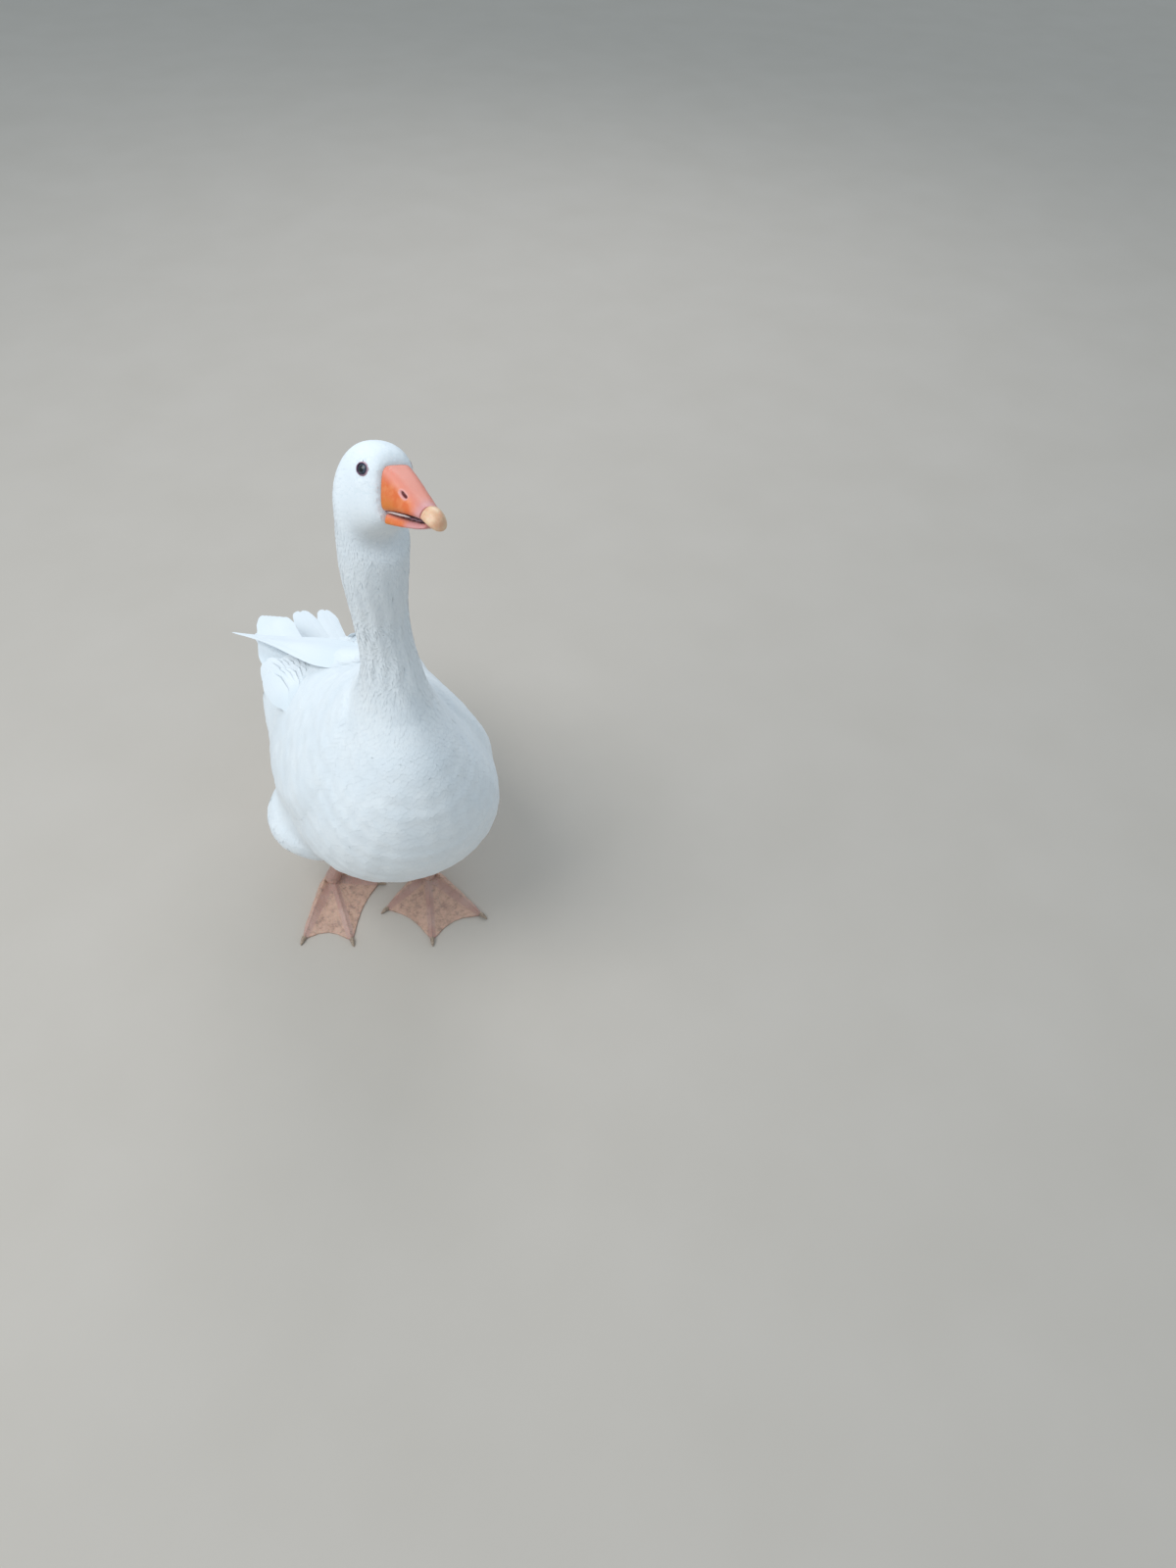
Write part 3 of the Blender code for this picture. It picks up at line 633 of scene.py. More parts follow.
lid_skin, tree = finish("bare lid", Roughness=0.42, Subsurface_Weight=0.15, Subsurface_Scale=0.001)
place = add(tree, "TexCoord").outputs["Object"]
blush = add(tree, "TexNoise", {"Vector": place, "Scale": 420.0, "Detail": 3.0}).outputs[0]
thick_part = add(tree, "Attribute", attribute_name="toe").outputs["Fac"]
fleshy = painted(tree, "#5E4254", (blush, 0.35, 0.65, "#86627A"))
lid_colour = add(tree, "Mix", {0: thick_part, 6: "#DFC0C2", 7: fleshy}, **COLOUR).outputs[2]
dress(tree, lid_colour, blush, 0.5, 0.0004)
print("leg and lid skins are ready")

# %% [markdown]
# ## Legs and feet
# The solids give the shank, the webbed foot and the hind toe. Fused in fine voxels they become one leg.
# The scutes are then pressed into the toes and the front of the shank: a row of low plates about 3 mm
# long, each a half wave, so that the plates bulge and the creases between them are narrow.

# %% The legs
HEELS = {"left": (0.036, 0.030), "right": (-0.010, -0.087)}  # forward and left
HEADINGS = {"left": math.radians(-17), "right": math.radians(-4)}  # of the middle toes
TOES = {  # degrees outward from the middle toe, and length
    "left": ((-51, 0.072), (0, 0.101), (43, 0.096)),
    "right": ((-66, 0.060), (0, 0.101), (36, 0.096)),
}
SCUTE = 0.0032  # length of a plate


def plates(distance, pitch):
    """A half wave per plate: the root of the absolute sine, 0 in a crease and 1 on a plate."""
    return np.abs(np.sin(math.pi * distance / pitch)) ** 0.6


def leg(side, sign):
    """One fused leg, its toe and scute values, with plates pressed 0.4 mm deep."""
    bare = solids("shank_" + side, "foot_" + side, "hallux_" + side)
    fused_leg = fused("leg_" + side, bare, LEG_VOXEL, 3)
    fill_hollows(fused_leg, [100] * 5, -0.03, 0.070)
    points, normals, quads = read(fused_leg.data)
    bpy.data.objects.remove(fused_leg)
    c, s = math.cos(HEADINGS[side]), math.sin(HEADINGS[side])
    forward, left = HEELS[side]
    x, y = points[:, 0] + MIDDLE[0] - left, -(points[:, 1] + MIDDLE[1]) - forward
    ahead, beside = y * c + x * s, x * c - y * s
    toe, press = np.zeros(len(points)), np.zeros(len(points))
    low = smooth_step((0.016 - points[:, 2]) / 0.004)
    for degrees, length in TOES[side]:
        way = math.radians(degrees) * sign
        run = ahead * math.cos(way) + beside * math.sin(way)
        off = np.abs(beside * math.cos(way) - ahead * math.sin(way))
        near = smooth_step((0.0062 - off) / 0.0022) * smooth_step((run - 0.004) / 0.01) * low
        toe = np.maximum(toe, near)
        press = np.where(near > 0.05, np.maximum(press, near * (1 - plates(run, SCUTE))), press)
    shank = smooth_step((points[:, 2] - 0.012) / 0.004)
    front = smooth_step(ahead / 0.004)
    press = np.maximum(press, shank * (0.3 + 0.7 * front) * (1 - plates(points[:, 2], SCUTE)))
    top = smooth_step((normals[:, 2] + 0.3) / 0.5) * low + shank
    points = points - normals * (0.0004 * press * top)[:, None]
    web = (1 - toe) * low * top
    ray = np.sin(np.arctan2(beside, ahead) * 34 + 0.6 * np.sin(np.hypot(ahead, beside) * 260))
    points = points + normals * (0.00022 * web * ray)[:, None]
    return points, quads, np.maximum(toe, shank), 1 - press * top


legs = [leg(side, sign) for side, sign in SIDES.items()]
print("the legs have", [len(part[1]) for part in legs], "quads")

# %% [markdown]
# ## Lids
# Round each eye lies a narrow ring of bare skin, purple where it is thick and pink at its edge. It is a
# closed ring: a rounded profile carried about the line that the eye looks along.

# %% The rings round the eyes
LID_PROFILE = np.array([  # out from the line of sight, and along it from the ball's middle, mm
    (4.70, 4.95), (4.80, 5.45), (5.10, 5.72), (5.45, 5.72), (5.80, 5.50), (6.15, 5.05), (6.45, 4.45),
    (6.60, 3.40), (6.20, 2.40), (5.40, 2.80), (4.80, 4.20),
]) / 1000
LID_FLESH = np.array([1, 1, 1, 0.9, 0.6, 0.15, 0, 0, 0, 0.5, 1.0])  # 1 where purple, 0 where pink


def eye_frame(side):
    """The ball's middle, the direction it looks in, and the head's forward and up across that."""
    sight = loft_normal(EYE_AT[0], SIDES[side] * EYE_AT[1])
    forward = from_head(0.01, 0, 0) - from_head(0, 0, 0)
    forward = unit(forward - sight * (forward @ sight))
    return middle("eye_" + side) - 0.0006 * sight, sight, forward, np.cross(sight, forward)


def lid(side):
    """The profile turned about the line of sight: 15 % wider along the head than across it, and
    a little thicker at one side."""
    centre, sight, forward, up = eye_frame(side)
    turn = circle(72)[:, None]
    lift = up * (1 if up[2] > 0 else -1)
    from_sight, along_sight = LID_PROFILE.T
    out = from_sight * (1 + 0.07 * np.cos(2 * turn))
    wrinkle = 0.00008 * np.sin(9 * turn) * (from_sight > 0.0048)
    along = along_sight * (1 + 0.05 * np.cos(turn - 2.3)) + wrinkle
    rings = (
        centre
        + (out * np.cos(turn))[..., None] * forward
        + (out * np.sin(turn))[..., None] * lift
        + along[..., None] * sight
    )
    count, n = rings.shape[:2]
    grid = np.arange(count * n).reshape(count, n)
    beyond, after = np.roll(grid, -1, 0), np.roll(grid, -1, 1)
    quads = np.stack([grid, after, np.roll(beyond, -1, 1), beyond], -1).reshape(-1, 4)
    points = rings.reshape(-1, 3)
    quads, _ = outward_faces(points, quads, np.zeros((0, 3), int))
    return points, quads, np.tile(LID_FLESH, count)


lids = [lid(side) for side in SIDES]
print("a lid ring has", len(lids[0][1]), "quads")

# %% [markdown]
# ## One skin
# The skin of the body is the form drawn inward by the depth of the coat: 0.4 mm on the head, and
# 1.4 mm on the body. Close to an eye it is drawn in further, so that none of it shows past the lid.
# Body, legs and lids are joined in one mesh, so that the whole bird wears one skin, and it stands for
# every fleshy solid of the frame.

# %% The skin
def coat_depth(height):
    """0.4 mm on the head, 0.8 mm on the neck and 1.4 mm on the body, with smooth changes between."""
    neck, trunk = smooth_step((0.62 - height) / 0.06), smooth_step((0.50 - height) / 0.12)
    return 0.0004 + 0.0004 * neck + 0.0006 * trunk


points, normals, quads = read(form.data)
depth = coat_depth(points[:, 2])
for side in SIDES:
    from_eye = np.linalg.norm(points - middle("eye_" + side), axis=1)
    depth = depth + 0.0014 * smooth_step((0.0088 - from_eye) / 0.002)
drawn_in = points - normals * depth[:, None]
shells = [(drawn_in, quads, np.zeros(len(points)), np.ones(len(points)))]
shells += legs + [(*ring, np.ones(len(ring[0]))) for ring in lids]
no_triangles = np.zeros((0, 3), int)
skin_points, skin_quads, _ = stacked([(shell[0], shell[1], no_triangles) for shell in shells])
skin_values = {key: np.concatenate([shell[i] for shell in shells]) for key, i in (("toe", 2), ("scute", 3))}
LIMBS = ["shank_left", "shank_right", "foot_left", "foot_right", "hallux_left", "hallux_right"]
goose_skin = build("goose_skin", skin_points, skin_quads, values=skin_values)
put_on(goose_skin, [down, leg_skin, lid_skin], FLESH + LIMBS)
finish_of_shell = np.repeat([0, 1, 1, 2, 2], [len(shell[1]) for shell in shells])
goose_skin.data.polygons.foreach_set("material_index", finish_of_shell.astype(np.int32))
print("the skin has", len(skin_quads), "quads")

# %% [markdown]
# ## A feather as a formula
# A vane is a thin closed shell over two parameters: u runs from its root to its tip and q from edge to
# edge. Its width swells from the quill, its end is rounded by pulling the edges back, and it rises from
# the skin so that only its last third shows from under the row before. All the vanes of a tract share
# one grid, so a whole tract is one array: every vane times every point of the grid.


# %% The grid of a vane
def vane_grid(rows, columns):
    """u and q of a vane's points, 1 for the points of the lower face only, 1 for those of the rim, which
    both faces share, and its quads."""
    u, q = np.meshgrid(np.linspace(0, 1, rows), np.linspace(-1, 1, columns), indexing="ij")
    q = np.sign(q) * np.abs(q) ** 0.8
    inner = (slice(1, -1), slice(1, -1))
    upper = np.arange(rows * columns).reshape(rows, columns)
    lower = upper.copy()
    hidden = (rows - 2) * (columns - 2)
    lower[inner] = rows * columns + np.arange(hidden).reshape(rows - 2, columns - 2)
    faces = [
        np.stack([face[:-1, :-1], face[:-1, 1:], face[1:, 1:], face[1:, :-1]], -1).reshape(-1, 4)
        for face in (upper, lower)
    ]
    under = np.concatenate([np.zeros(rows * columns), np.ones(hidden)])
    rim = np.concatenate([((u == 0) | (u == 1) | (np.abs(q) == 1)).ravel(), np.zeros(hidden, bool)])
    return (
        np.concatenate([u.ravel(), u[inner].ravel()]),
        np.concatenate([q.ravel(), q[inner].ravel()]),
        under,
        rim,
        np.concatenate([faces[0], faces[1][:, ::-1]]),
    )


TUFT, SMALL, BROAD, LONG = vane_grid(5, 3), vane_grid(5, 5), vane_grid(8, 7), vane_grid(22, 9)
print("a tuft has", 2 * len(TUFT[4]), "triangles, a broad vane", 2 * len(BROAD[4]))


# %% Vanes
def vanes(frame_of, place, grid, length, half, round_tip, depth, camber, thick, point=0.0, lift=0.0,
          base=0.0, jag=0.05, sway=0.0, hug=True):
    """All the vanes of a tract. frame_of is each root's place, outward direction and lie; place is where
    the root is on the unwrap. Along = length * (u - round_tip * u^2 * |q|^2.2), half width = half * the
    swell of u, height = base - depth * (1 - u) - camber * q^2 + lift * u^3, over the form where a vane
    hugs it, or else over its own straight shaft."""
    root, normal, lie = frame_of
    u, q, under, rim, faces = grid
    count = len(root)
    each = (np.broadcast_to(size, count)[:, None] for size in (length, half, base, lift, depth))
    length, half, base, lift, depth = each
    swell = (0.34 + 0.66 * smooth_step(u / 0.45)) * (1 - point * smooth_step((u - 0.30) / 0.70))
    ragged = 1 + jag * rng.uniform(-1, 1, (count, len(u))) * (u > 0.7)
    ragged[:, under > 0] = 1
    along = length * (u - round_tip * u**2 * np.abs(q) ** 2.2) * ragged
    across = half * swell * q + sway * length * rng.uniform(-1, 1, (count, 1)) * u**2
    beside = np.cross(lie, normal)
    points = root[:, None] + along[..., None] * lie[:, None] + across[..., None] * beside[:, None]
    outward = np.broadcast_to(normal[:, None], points.shape)
    if hug:
        points, outward = on_form(points + 0.002 * normal[:, None])
    height = base - depth * (1 - u) - camber * q**2 * np.minimum(1, 3 * u) + lift * u**3
    height = height - under * thick * (1 - u * 0.5)
    points = points + height[..., None] * outward
    return {
        "points": points.reshape(-1, 3),
        "quads": (faces[None] + (np.arange(count) * len(u))[:, None, None]).reshape(-1, 4),
        "vane": np.stack([across * np.ones_like(along), along], -1).reshape(-1, 2),
        "bake": (place[:, None] + 0.003 * np.stack([0.5 * q, u], -1)[None]).reshape(-1, 2),
        "tone": np.repeat(rng.uniform(0, 1, count), len(u)),
        "reach": np.tile(u, count),
        "rim": np.tile(rim, count),
        "count": count,
    }


def coat(name, tracts, material, nodes=()):
    """Tracts joined in one piece, with the map for baking, the map of the vane and two attributes."""
    starts = np.cumsum([0] + [len(tract["points"]) for tract in tracts[:-1]])
    quads = np.concatenate([tract["quads"] + start for tract, start in zip(tracts, starts)])
    keys = ("points", "vane", "bake", "tone", "reach", "rim")
    field = {key: np.concatenate([tract[key] for tract in tracts]) for key in keys}
    maps = {"OFBake": field["bake"], "Vane": field["vane"]}
    # reach runs from root to tip along each vane; the finish paints shade by it near the root.
    values = {"tone": field["tone"], "reach": field["reach"]}
    made = build(name, field["points"], quads, maps=maps, values=values, rim=field["rim"])
    put_on(made, [material], nodes)
    print(name, "has", sum(tract["count"] for tract in tracts), "feathers and", 2 * len(quads), "triangles")


print("a coat is made of", contour_feather.name, "or", flight_feather.name)


# %% Planting
def turn_about(normal, lie, angle):
    """A lie turned about the outward direction, counter-clockwise from outside."""
    angle = np.broadcast_to(angle, len(lie))[:, None]
    return lie * np.cos(angle) + np.cross(normal, lie) * np.sin(angle)


def flat_to(vectors, normal):
    """Vectors less the part of each that runs along its normal."""
    return vectors - normal * dots(vectors, normal)[:, None]


def rooted(surface, a, b, twist):
    """Roots on the form under surface(a, b). The lie is the way the surface runs as a grows."""
    here, there = surface(a, b), surface(a + 0.04, b)
    spot, normal = on_form(here)
    return spot, normal, turn_about(normal, unit(flat_to(there - here, normal)), twist)


def ramp(value, *stops):
    """Read a value off straight lines between (where, value) stops."""
    where, what = np.array(stops).T
    return np.interp(value, where, what)


def planted(surface, a_range, b_values, pitch, scatter, closer=lambda b: 1):
    """Roots down lines of equal b. pitch gives the metres between two roots as stops along a, and closer
    scales them by b: each line's length is summed in pitches and read back at whole counts, and every
    other line starts half a pitch later."""
    a = np.linspace(*a_range, 260)
    metres = ramp((a[1:] + a[:-1]) / 2, *pitch)
    roots_a, roots_b = [], []
    for k, b in enumerate(b_values):
        run = np.linalg.norm(np.diff(surface(a, np.full_like(a, b)), axis=0), axis=1)
        total = np.concatenate([[0], np.cumsum(run / (metres * closer(b)))])
        at = np.arange(0.2 + 0.5 * (k % 2), total[-1])
        at = at + scatter * rng.uniform(-1, 1, len(at))
        roots_a.append(np.interp(at, total, a))
        apart = b_values[1] - b_values[0]
        roots_b.append(np.full(len(at), b) + scatter * rng.uniform(-1, 1, len(at)) * apart)
    return np.concatenate(roots_a), np.concatenate(roots_b)


print("a third of the way from 4 mm to 7 mm is", ramp(1, (0, 0.004), (3, 0.007)), "m")

# %% [markdown]
# ## Head
# The tufts of the face are the smallest: about 2 mm apart by the bill, with soft round ends, so that the
# face looks like velvet. They part round the eye, and grow longer towards the nape.

# %% Head tufts
def unwrapped(s, angle, first, last):
    """A place on the unwrap of the loft: round it across, along it up."""
    return 0.02 + 0.95 * np.stack([(angle % math.tau) / math.tau, (s - first) / (last - first)], -1)


def clear_of_eyes(roots, length):
    """Lies turned away from the eyes, lengths cut so that no tuft covers one, and which roots to keep:
    those more than 6 mm from a line of sight."""
    spot, normal, lie = roots
    keep, near = np.ones(len(spot), bool), 0.0060
    for side in SIDES:
        centre, sight = eye_frame(side)[:2]
        away = spot - centre
        away = away - sight * (away @ sight)[:, None]
        far = np.linalg.norm(away, axis=1)
        same_side = (spot - centre) @ sight > -0.012
        close = np.exp(-(((far - near) / 0.005) ** 2)) * same_side
        towards = dots(lie, unit(away)) < 0.2
        lie = unit(lie + (1.4 * close * towards)[:, None] * unit(away))
        reach = np.where(same_side & (dots(lie, unit(away)) < 0.3), (far - near) / 0.0045, 1)
        length = length * np.clip(reach, 0.35, 1)
        keep &= ~(same_side & (far < near))
    return (spot, normal, lie), length, keep


def face(a, b):
    """The loft with one more ring count before it: from under the bill's edge, 0, to the face's rim, 1."""
    rim, hub = loft(np.maximum(np.asarray(a) - 1, 0), b), loft(0, around(48)).mean(0)
    return rim + (hub - rim) * 0.12 * np.clip(1 - np.asarray(a), 0, 1)[..., None]


HEAD_PITCHES = ((0, 0.0014), (1, 0.0018), (3, 0.0022), (6, 0.0027), (8, 0.0031))
s, angle = planted(face, (0.0, 8.3), around(104), HEAD_PITCHES, 0.45)
spots = rooted(face, s, angle, rng.normal(0, 0.14, len(s)))
s = s - 1
length = ramp(s, (-1, 0.0040), (1, 0.0058), (3, 0.0070), (5, 0.0088), (7.3, 0.0108))
length = length * rng.uniform(0.85, 1.15, len(s))
spots, length, keep = clear_of_eyes(spots, length)
spots = tuple(part[keep] for part in spots)
s, angle, length = s[keep], angle[keep], length[keep]
half = ramp(s, (-1, 0.0018), (0, 0.0021), (2, 0.0025), (5, 0.0027), (7.3, 0.0025))
lift = ramp(s, (0, 0.0), (4, 0.00002), (7, 0.00010)) * rng.uniform(0, 1, len(s))
head_tufts = vanes(spots, unwrapped(s, angle, -1, 7.4), TUFT, length, half, round_tip=0.25, point=0.45,
                   depth=ramp(s, (0, 0.0005), (7, 0.0007)), camber=0.0001, thick=0.00006, lift=lift)
coat("coat_head", [head_tufts], contour_feather)

# %% [markdown]
# ## Neck
# A goose's neck is furrowed: its feathers are narrow and pointed, and stand in ridges that wander down
# the neck. The ridges are in the form already. Here the tufts lie a little towards the ridges, and on
# the front right they swing over in broad chevrons.

# %% Neck tufts
NECK_PITCHES = ((7, 0.0032), (10, 0.0036), (11.5, 0.0042), (12.4, 0.0055))
s, angle = planted(loft, (6.9, 12.3), around(88), NECK_PITCHES, 0.35)
slope = -np.sin(ridge_phase(s, angle))
front = np.cos(angle - 5.6)
chevron = smooth_step((front - 0.55) / 0.3) * smooth_step((s - 8.2) / 0.8) * smooth_step((11.6 - s) / 0.8)
twist = 0.32 * slope + chevron * (0.75 * np.sin(5.2 * s + 3.0 * angle)) + rng.normal(0, 0.12, len(s))
spots = rooted(loft, s, angle, twist)
calm = smooth_step((12.4 - s) / 0.8) * smooth_step((s - 6.8) / 1.2)
length = ramp(s, (7, 0.0115), (9, 0.0135), (11, 0.0150), (12.4, 0.0160)) * rng.uniform(0.85, 1.15, len(s))
half = ramp(s, (7, 0.0025), (10, 0.0029), (11.5, 0.0038), (12.5, 0.0056)) * rng.uniform(0.85, 1.15, len(s))
lift = (rng.uniform(0, 0.0001, len(s)) + 0.0003 * chevron) * calm
neck_tufts = vanes(spots, unwrapped(s, angle, 6.8, 12.6), TUFT, length, half, round_tip=0.32, point=0.45,
                   depth=0.0004, camber=0.0001, thick=0.00008, lift=lift, sway=0.04)
coat("coat_neck", [neck_tufts], contour_feather)

# %% [markdown]
# ## Breast, belly and back
# The contour feathers of the trunk are broad and round-ended, and lie close like soft tiles: each shows
# about 8 mm of itself. Where a wing lies over the trunk no feather is planted, except near its edge.

# %% Contour feathers
WING = (  # ring count past the neck's foot, lower and upper edge in degrees, thickness, fade
    (0.75, 108, 128, 0.0020, 0.8),
    (1.20, 95, 146, 0.0040, 0.8),
    (2.20, 84, 158, 0.0055, 0.7),
    (3.80, 78, 167, 0.0070, 0.5),
    (5.60, 80, 171, 0.0070, 0.3),
    (7.20, 86, 172, 0.0110, 0.3),
    (8.60, 94, 171, 0.0300, 0.3),
    (9.70, 106, 166, 0.0500, 0.3),
)
TRUNK_PITCHES = ((11.8, 0.0045), (12.6, 0.0060), (13.6, 0.0075), (15, 0.0082), (22, 0.0080))


def closer_on_back(angle):
    """A fifth closer on the upper part of the trunk than below it."""
    return 1 - 0.2 * (np.cos(angle) < -0.3)


def under_wing(s, angle, margin_low, margin_high):
    """True where a root would be hidden by a wing: inside its outline by a margin in degrees."""
    degrees = np.degrees(np.minimum(angle % math.tau, math.tau - angle % math.tau))
    table = np.array(WING)
    low, high = (np.interp(s - NECK_FOOT, table[:, 0], table[:, i]) for i in (1, 2))
    within = (s > NECK_FOOT + 1.0) & (s < NECK_FOOT + 9.3)
    return within & (degrees > low + margin_low) & (degrees < high - margin_high)


s, angle = planted(loft, (11.6, 21.9), around(104), TRUNK_PITCHES, 0.22, closer_on_back)
keep = ~under_wing(s, angle, 5, 3)
s, angle = s[keep], angle[keep]
spots = rooted(loft, s, angle, rng.normal(0, 0.10, len(s)))
length = ramp(s, (11.9, 0.0150), (13, 0.0190), (14.5, 0.0240), (22, 0.0250))
length = length * rng.uniform(0.88, 1.12, len(s))
half = ramp(s, (11.9, 0.0046), (13, 0.0060), (14, 0.0072), (16, 0.0080), (20, 0.0076), (22, 0.0062))
loose = rng.uniform(0, 0.00015, len(s))
level = -0.0004 * smooth_step((12.4 - s) / 0.6)
for name, first, last in (("coat_breast", 0, 15), ("coat_belly", 15, 18), ("coat_rump", 18, 30)):
    chosen = (s >= first) & (s < last)
    place = unwrapped(s[chosen], angle[chosen], 11.8, 22)
    tract = vanes(tuple(part[chosen] for part in spots), place, SMALL, length[chosen], half[chosen],
                  round_tip=0.32, depth=0.0006, camber=0.0001, thick=0.0001, base=level[chosen],
                  lift=loose[chosen])
    coat(name, [tract], contour_feather)

# %% [markdown]
# ## Thighs
# The feathered thigh is a soft lobe. Its feathers run down it to the hock, getting smaller, and their
# ends close round the bare shank.

# %% The thigh's surface
THIGH = (  # forward and out of the hock, height, half length, half width
    (0.000, 0.000, 0.074, 0.0150, 0.0140),
    (0.000, 0.004, 0.086, 0.0280, 0.0280),
    (-0.006, 0.016, 0.104, 0.0480, 0.0460),
    (-0.012, 0.026, 0.126, 0.0600, 0.0560),
    (-0.018, 0.026, 0.150, 0.0600, 0.0540),
    (-0.024, 0.018, 0.172, 0.0420, 0.0380),
)
HOCKS = {"left": (0.022, 0.044), "right": (-0.002, 0.066)}


def thigh(side):
    """The thigh as a surface: a runs from its top, 0, to the hock, 5, and b round it."""
    def surface(a, b):
        forward, out, up, long, wide = np.moveaxis(catmull(THIGH, 5 - a), -1, 0)
        hock_forward, hock_out = HOCKS[side]
        left = SIDES[side] * (out + hock_out) + wide * np.sin(b)
        return placed(forward + hock_forward + long * np.cos(b), left, up)
    return surface


def inside_trunk(points, margin):
    """True for points that lie deeper in the form than a margin."""
    spot, normal = on_form(points)
    return dots(points - spot, normal) < -margin


print("a thigh runs over", len(THIGH), "rings")


# %% Thigh feathers
def cuff(side):
    """Three rings of twenty short straight vanes that close the feathers round the top of a shank."""
    turn, row = (part.ravel() for part in np.meshgrid(around(20), np.arange(3)))
    forward, out = HOCKS[side]
    ring = placed(np.cos(turn), np.sin(turn), 0) + MIDDLE
    axis = placed(forward + 0 * turn, SIDES[side] * out, 0.086 + 0.006 * row)
    roots = axis + ring * (0.0105 + 0.0025 * row)[:, None]
    tips = axis - [0, 0, 0.021] + ring * (0.0085 + 0.0015 * row)[:, None]
    lie = unit(tips - roots)
    spots = roots, unit(flat_to(ring, lie)), lie
    place = np.stack([THIGH_CHART[side] + 0.45 * turn / math.tau, 0.985 - 0.004 * row], -1)
    return vanes(spots, place, SMALL, np.linalg.norm(tips - roots, axis=1), 0.0032, round_tip=0.32,
                 depth=0.0004, camber=0.0003, thick=0.0001, hug=False)


THIGH_CHART = {"left": 0.02, "right": 0.52}  # where each thigh's part of the unwrap starts
THIGH_PITCHES = ((0, 0.0085), (3.5, 0.0080), (5, 0.0050))
thigh_tracts = []
for side in SIDES:
    surface = thigh(side)
    a, b = planted(surface, (0.2, 4.95), around(34), THIGH_PITCHES, 0.2)
    keep = ~inside_trunk(surface(a, b), 0.014)
    a, b = a[keep], b[keep]
    spots = rooted(surface, a, b, rng.normal(0, 0.12, len(a)))
    length = ramp(a, (0, 0.025), (3.5, 0.021), (5, 0.011)) * rng.uniform(0.88, 1.12, len(a))
    half = ramp(a, (0, 0.0068), (3.5, 0.0058), (5, 0.0030))
    place = np.stack([THIGH_CHART[side] + 0.45 * (b % math.tau) / math.tau, 0.02 + 0.19 * a], -1)
    thigh_tracts.append(vanes(spots, place, SMALL, length, half, round_tip=0.32, depth=0.0007,
                              camber=0.0001, thick=0.0001, lift=0.0001))
    thigh_tracts.append(cuff(side))
coat("coat_thighs", thigh_tracts, contour_feather)

# %% [markdown]
# ## Folded wings
# A folded wing is shingled from the shoulder back. The lesser coverts are small and lie so flat that the
# patch looks smooth, then come the median and greater coverts with long round ends, and behind them the
# secondaries and tertials, whose ends make the wing's rear outline.

# %% The wing's surface
def wing(side):
    """The wing's outer surface: a runs from the shoulder, 0, to the rear, 7, and b from the low edge, 0,
    to the back, 1. Its thickness swells quickly from the low edge and fades to the back."""
    def surface(a, b):
        offset, low, high, thickness, fade = np.moveaxis(catmull(WING, a), -1, 0)
        s, angle = NECK_FOOT + offset, np.radians(low * (1 - b) + high * b) * SIDES[side]
        low_part, high_part = np.clip(b / 0.16, 0, 1), np.clip((1 - b) / fade, 0, 1)
        swell = np.sqrt(1 - (1 - low_part) ** 2) * (high_part * (2 - high_part)) ** 1.5
        ends = np.sqrt(np.clip(1 - ((a / 7 - 0.5) / 0.5) ** 8, 0, 1))
        lift = 0.0024 + thickness * swell * ends
        return loft(s, angle) + lift[..., None] * loft_normal(s, angle)
    return surface


ARC = ((0, 4.75), (0.3, 4.75), (0.5, 4.65), (0.7, 4.3), (0.85, 3.8), (0.92, 3.45), (0.97, 2.8), (1.0, 2.05))
COVERT_STEP = ((2.6, 0.0002), (3.6, 0.0009), (4.4, 0.0018))


def patch_of(surface):
    """The wing's surface up to the arc in which the coverts end: a is 4.7 all along the arc."""
    return lambda a, b: surface(a * ramp(b, *ARC) / 4.7, b)


print("the coverts end", ARC[0][1] - ARC[-1][1], "ring counts further back below than above")

# %% The wings' coats
WING_ROWS = (  # on the patch or not, from and to along it, lines, metres apart, length, half width, lowest
    # line, depth, camber, laid on the form or not, and height over it as stops along the wing
    (False, (3.7, 5.0), 17, 0.0230, 0.0600, 0.0115, 0.03, 0.0012, 0.0006, True, (0, -0.0002)),
    (False, (5.0, 6.2), 15, 0.0250, 0.0700, 0.0125, 0.03, 0.0032, 0.0014, True, (0, 0.0008)),
    (False, (6.3, 6.92), 13, 0.0200, 0.0440, 0.0120, 0.03, 0.0020, 0.0016, False, (0, 0.0012)),
    (False, (1.9, 3.9), 6, 0.0160, 0.0480, 0.0105, 0.80, 0.0010, 0.0003, True, (0, 0.0002)),
    (True, (0.05, 1.6), 20, 0.0072, 0.0200, 0.0068, 0.03, 0.0006, 0.0001, True, (0, 0.0002)),
    (True, (1.6, 3.0), 24, 0.0085, 0.0250, 0.0080, 0.03, 0.0006, 0.0001, True, *COVERT_STEP),
    (True, (3.0, 4.3), 24, 0.0095, 0.0300, 0.0088, 0.03, 0.0007, 0.0002, True, *COVERT_STEP),
)


def wing_rows(side, on_patch, along, lines, pitch, length, half, low_b, depth, camber, hug, *level):
    """One group of feathers: its roots, and vanes whose lie fans out a little from the shoulder."""
    surface = patch_of(wing(side)) if on_patch else wing(side)
    a, b = planted(surface, along, np.linspace(low_b, 0.99, lines), [(0, pitch)], 0.12)
    fan = SIDES[side] * (0.30 * (0.5 - b) * np.clip(1.6 - a / 3, 0, 1))
    spots = rooted(surface, a, b, fan + rng.normal(0, 0.05, len(a)))
    place = np.stack([0.02 + 0.95 * b, 0.02 + 0.13 * a], -1)
    size = rng.uniform(0.93, 1.07, len(a))
    height = ramp(a, *level) * (1 - 0.85 * smooth_step((b - 0.76) / 0.16))
    return vanes(spots, place, SMALL if length < 0.031 else BROAD, length * size, half, round_tip=0.30,
                 depth=depth, camber=camber, thick=0.00015, base=height, hug=hug)


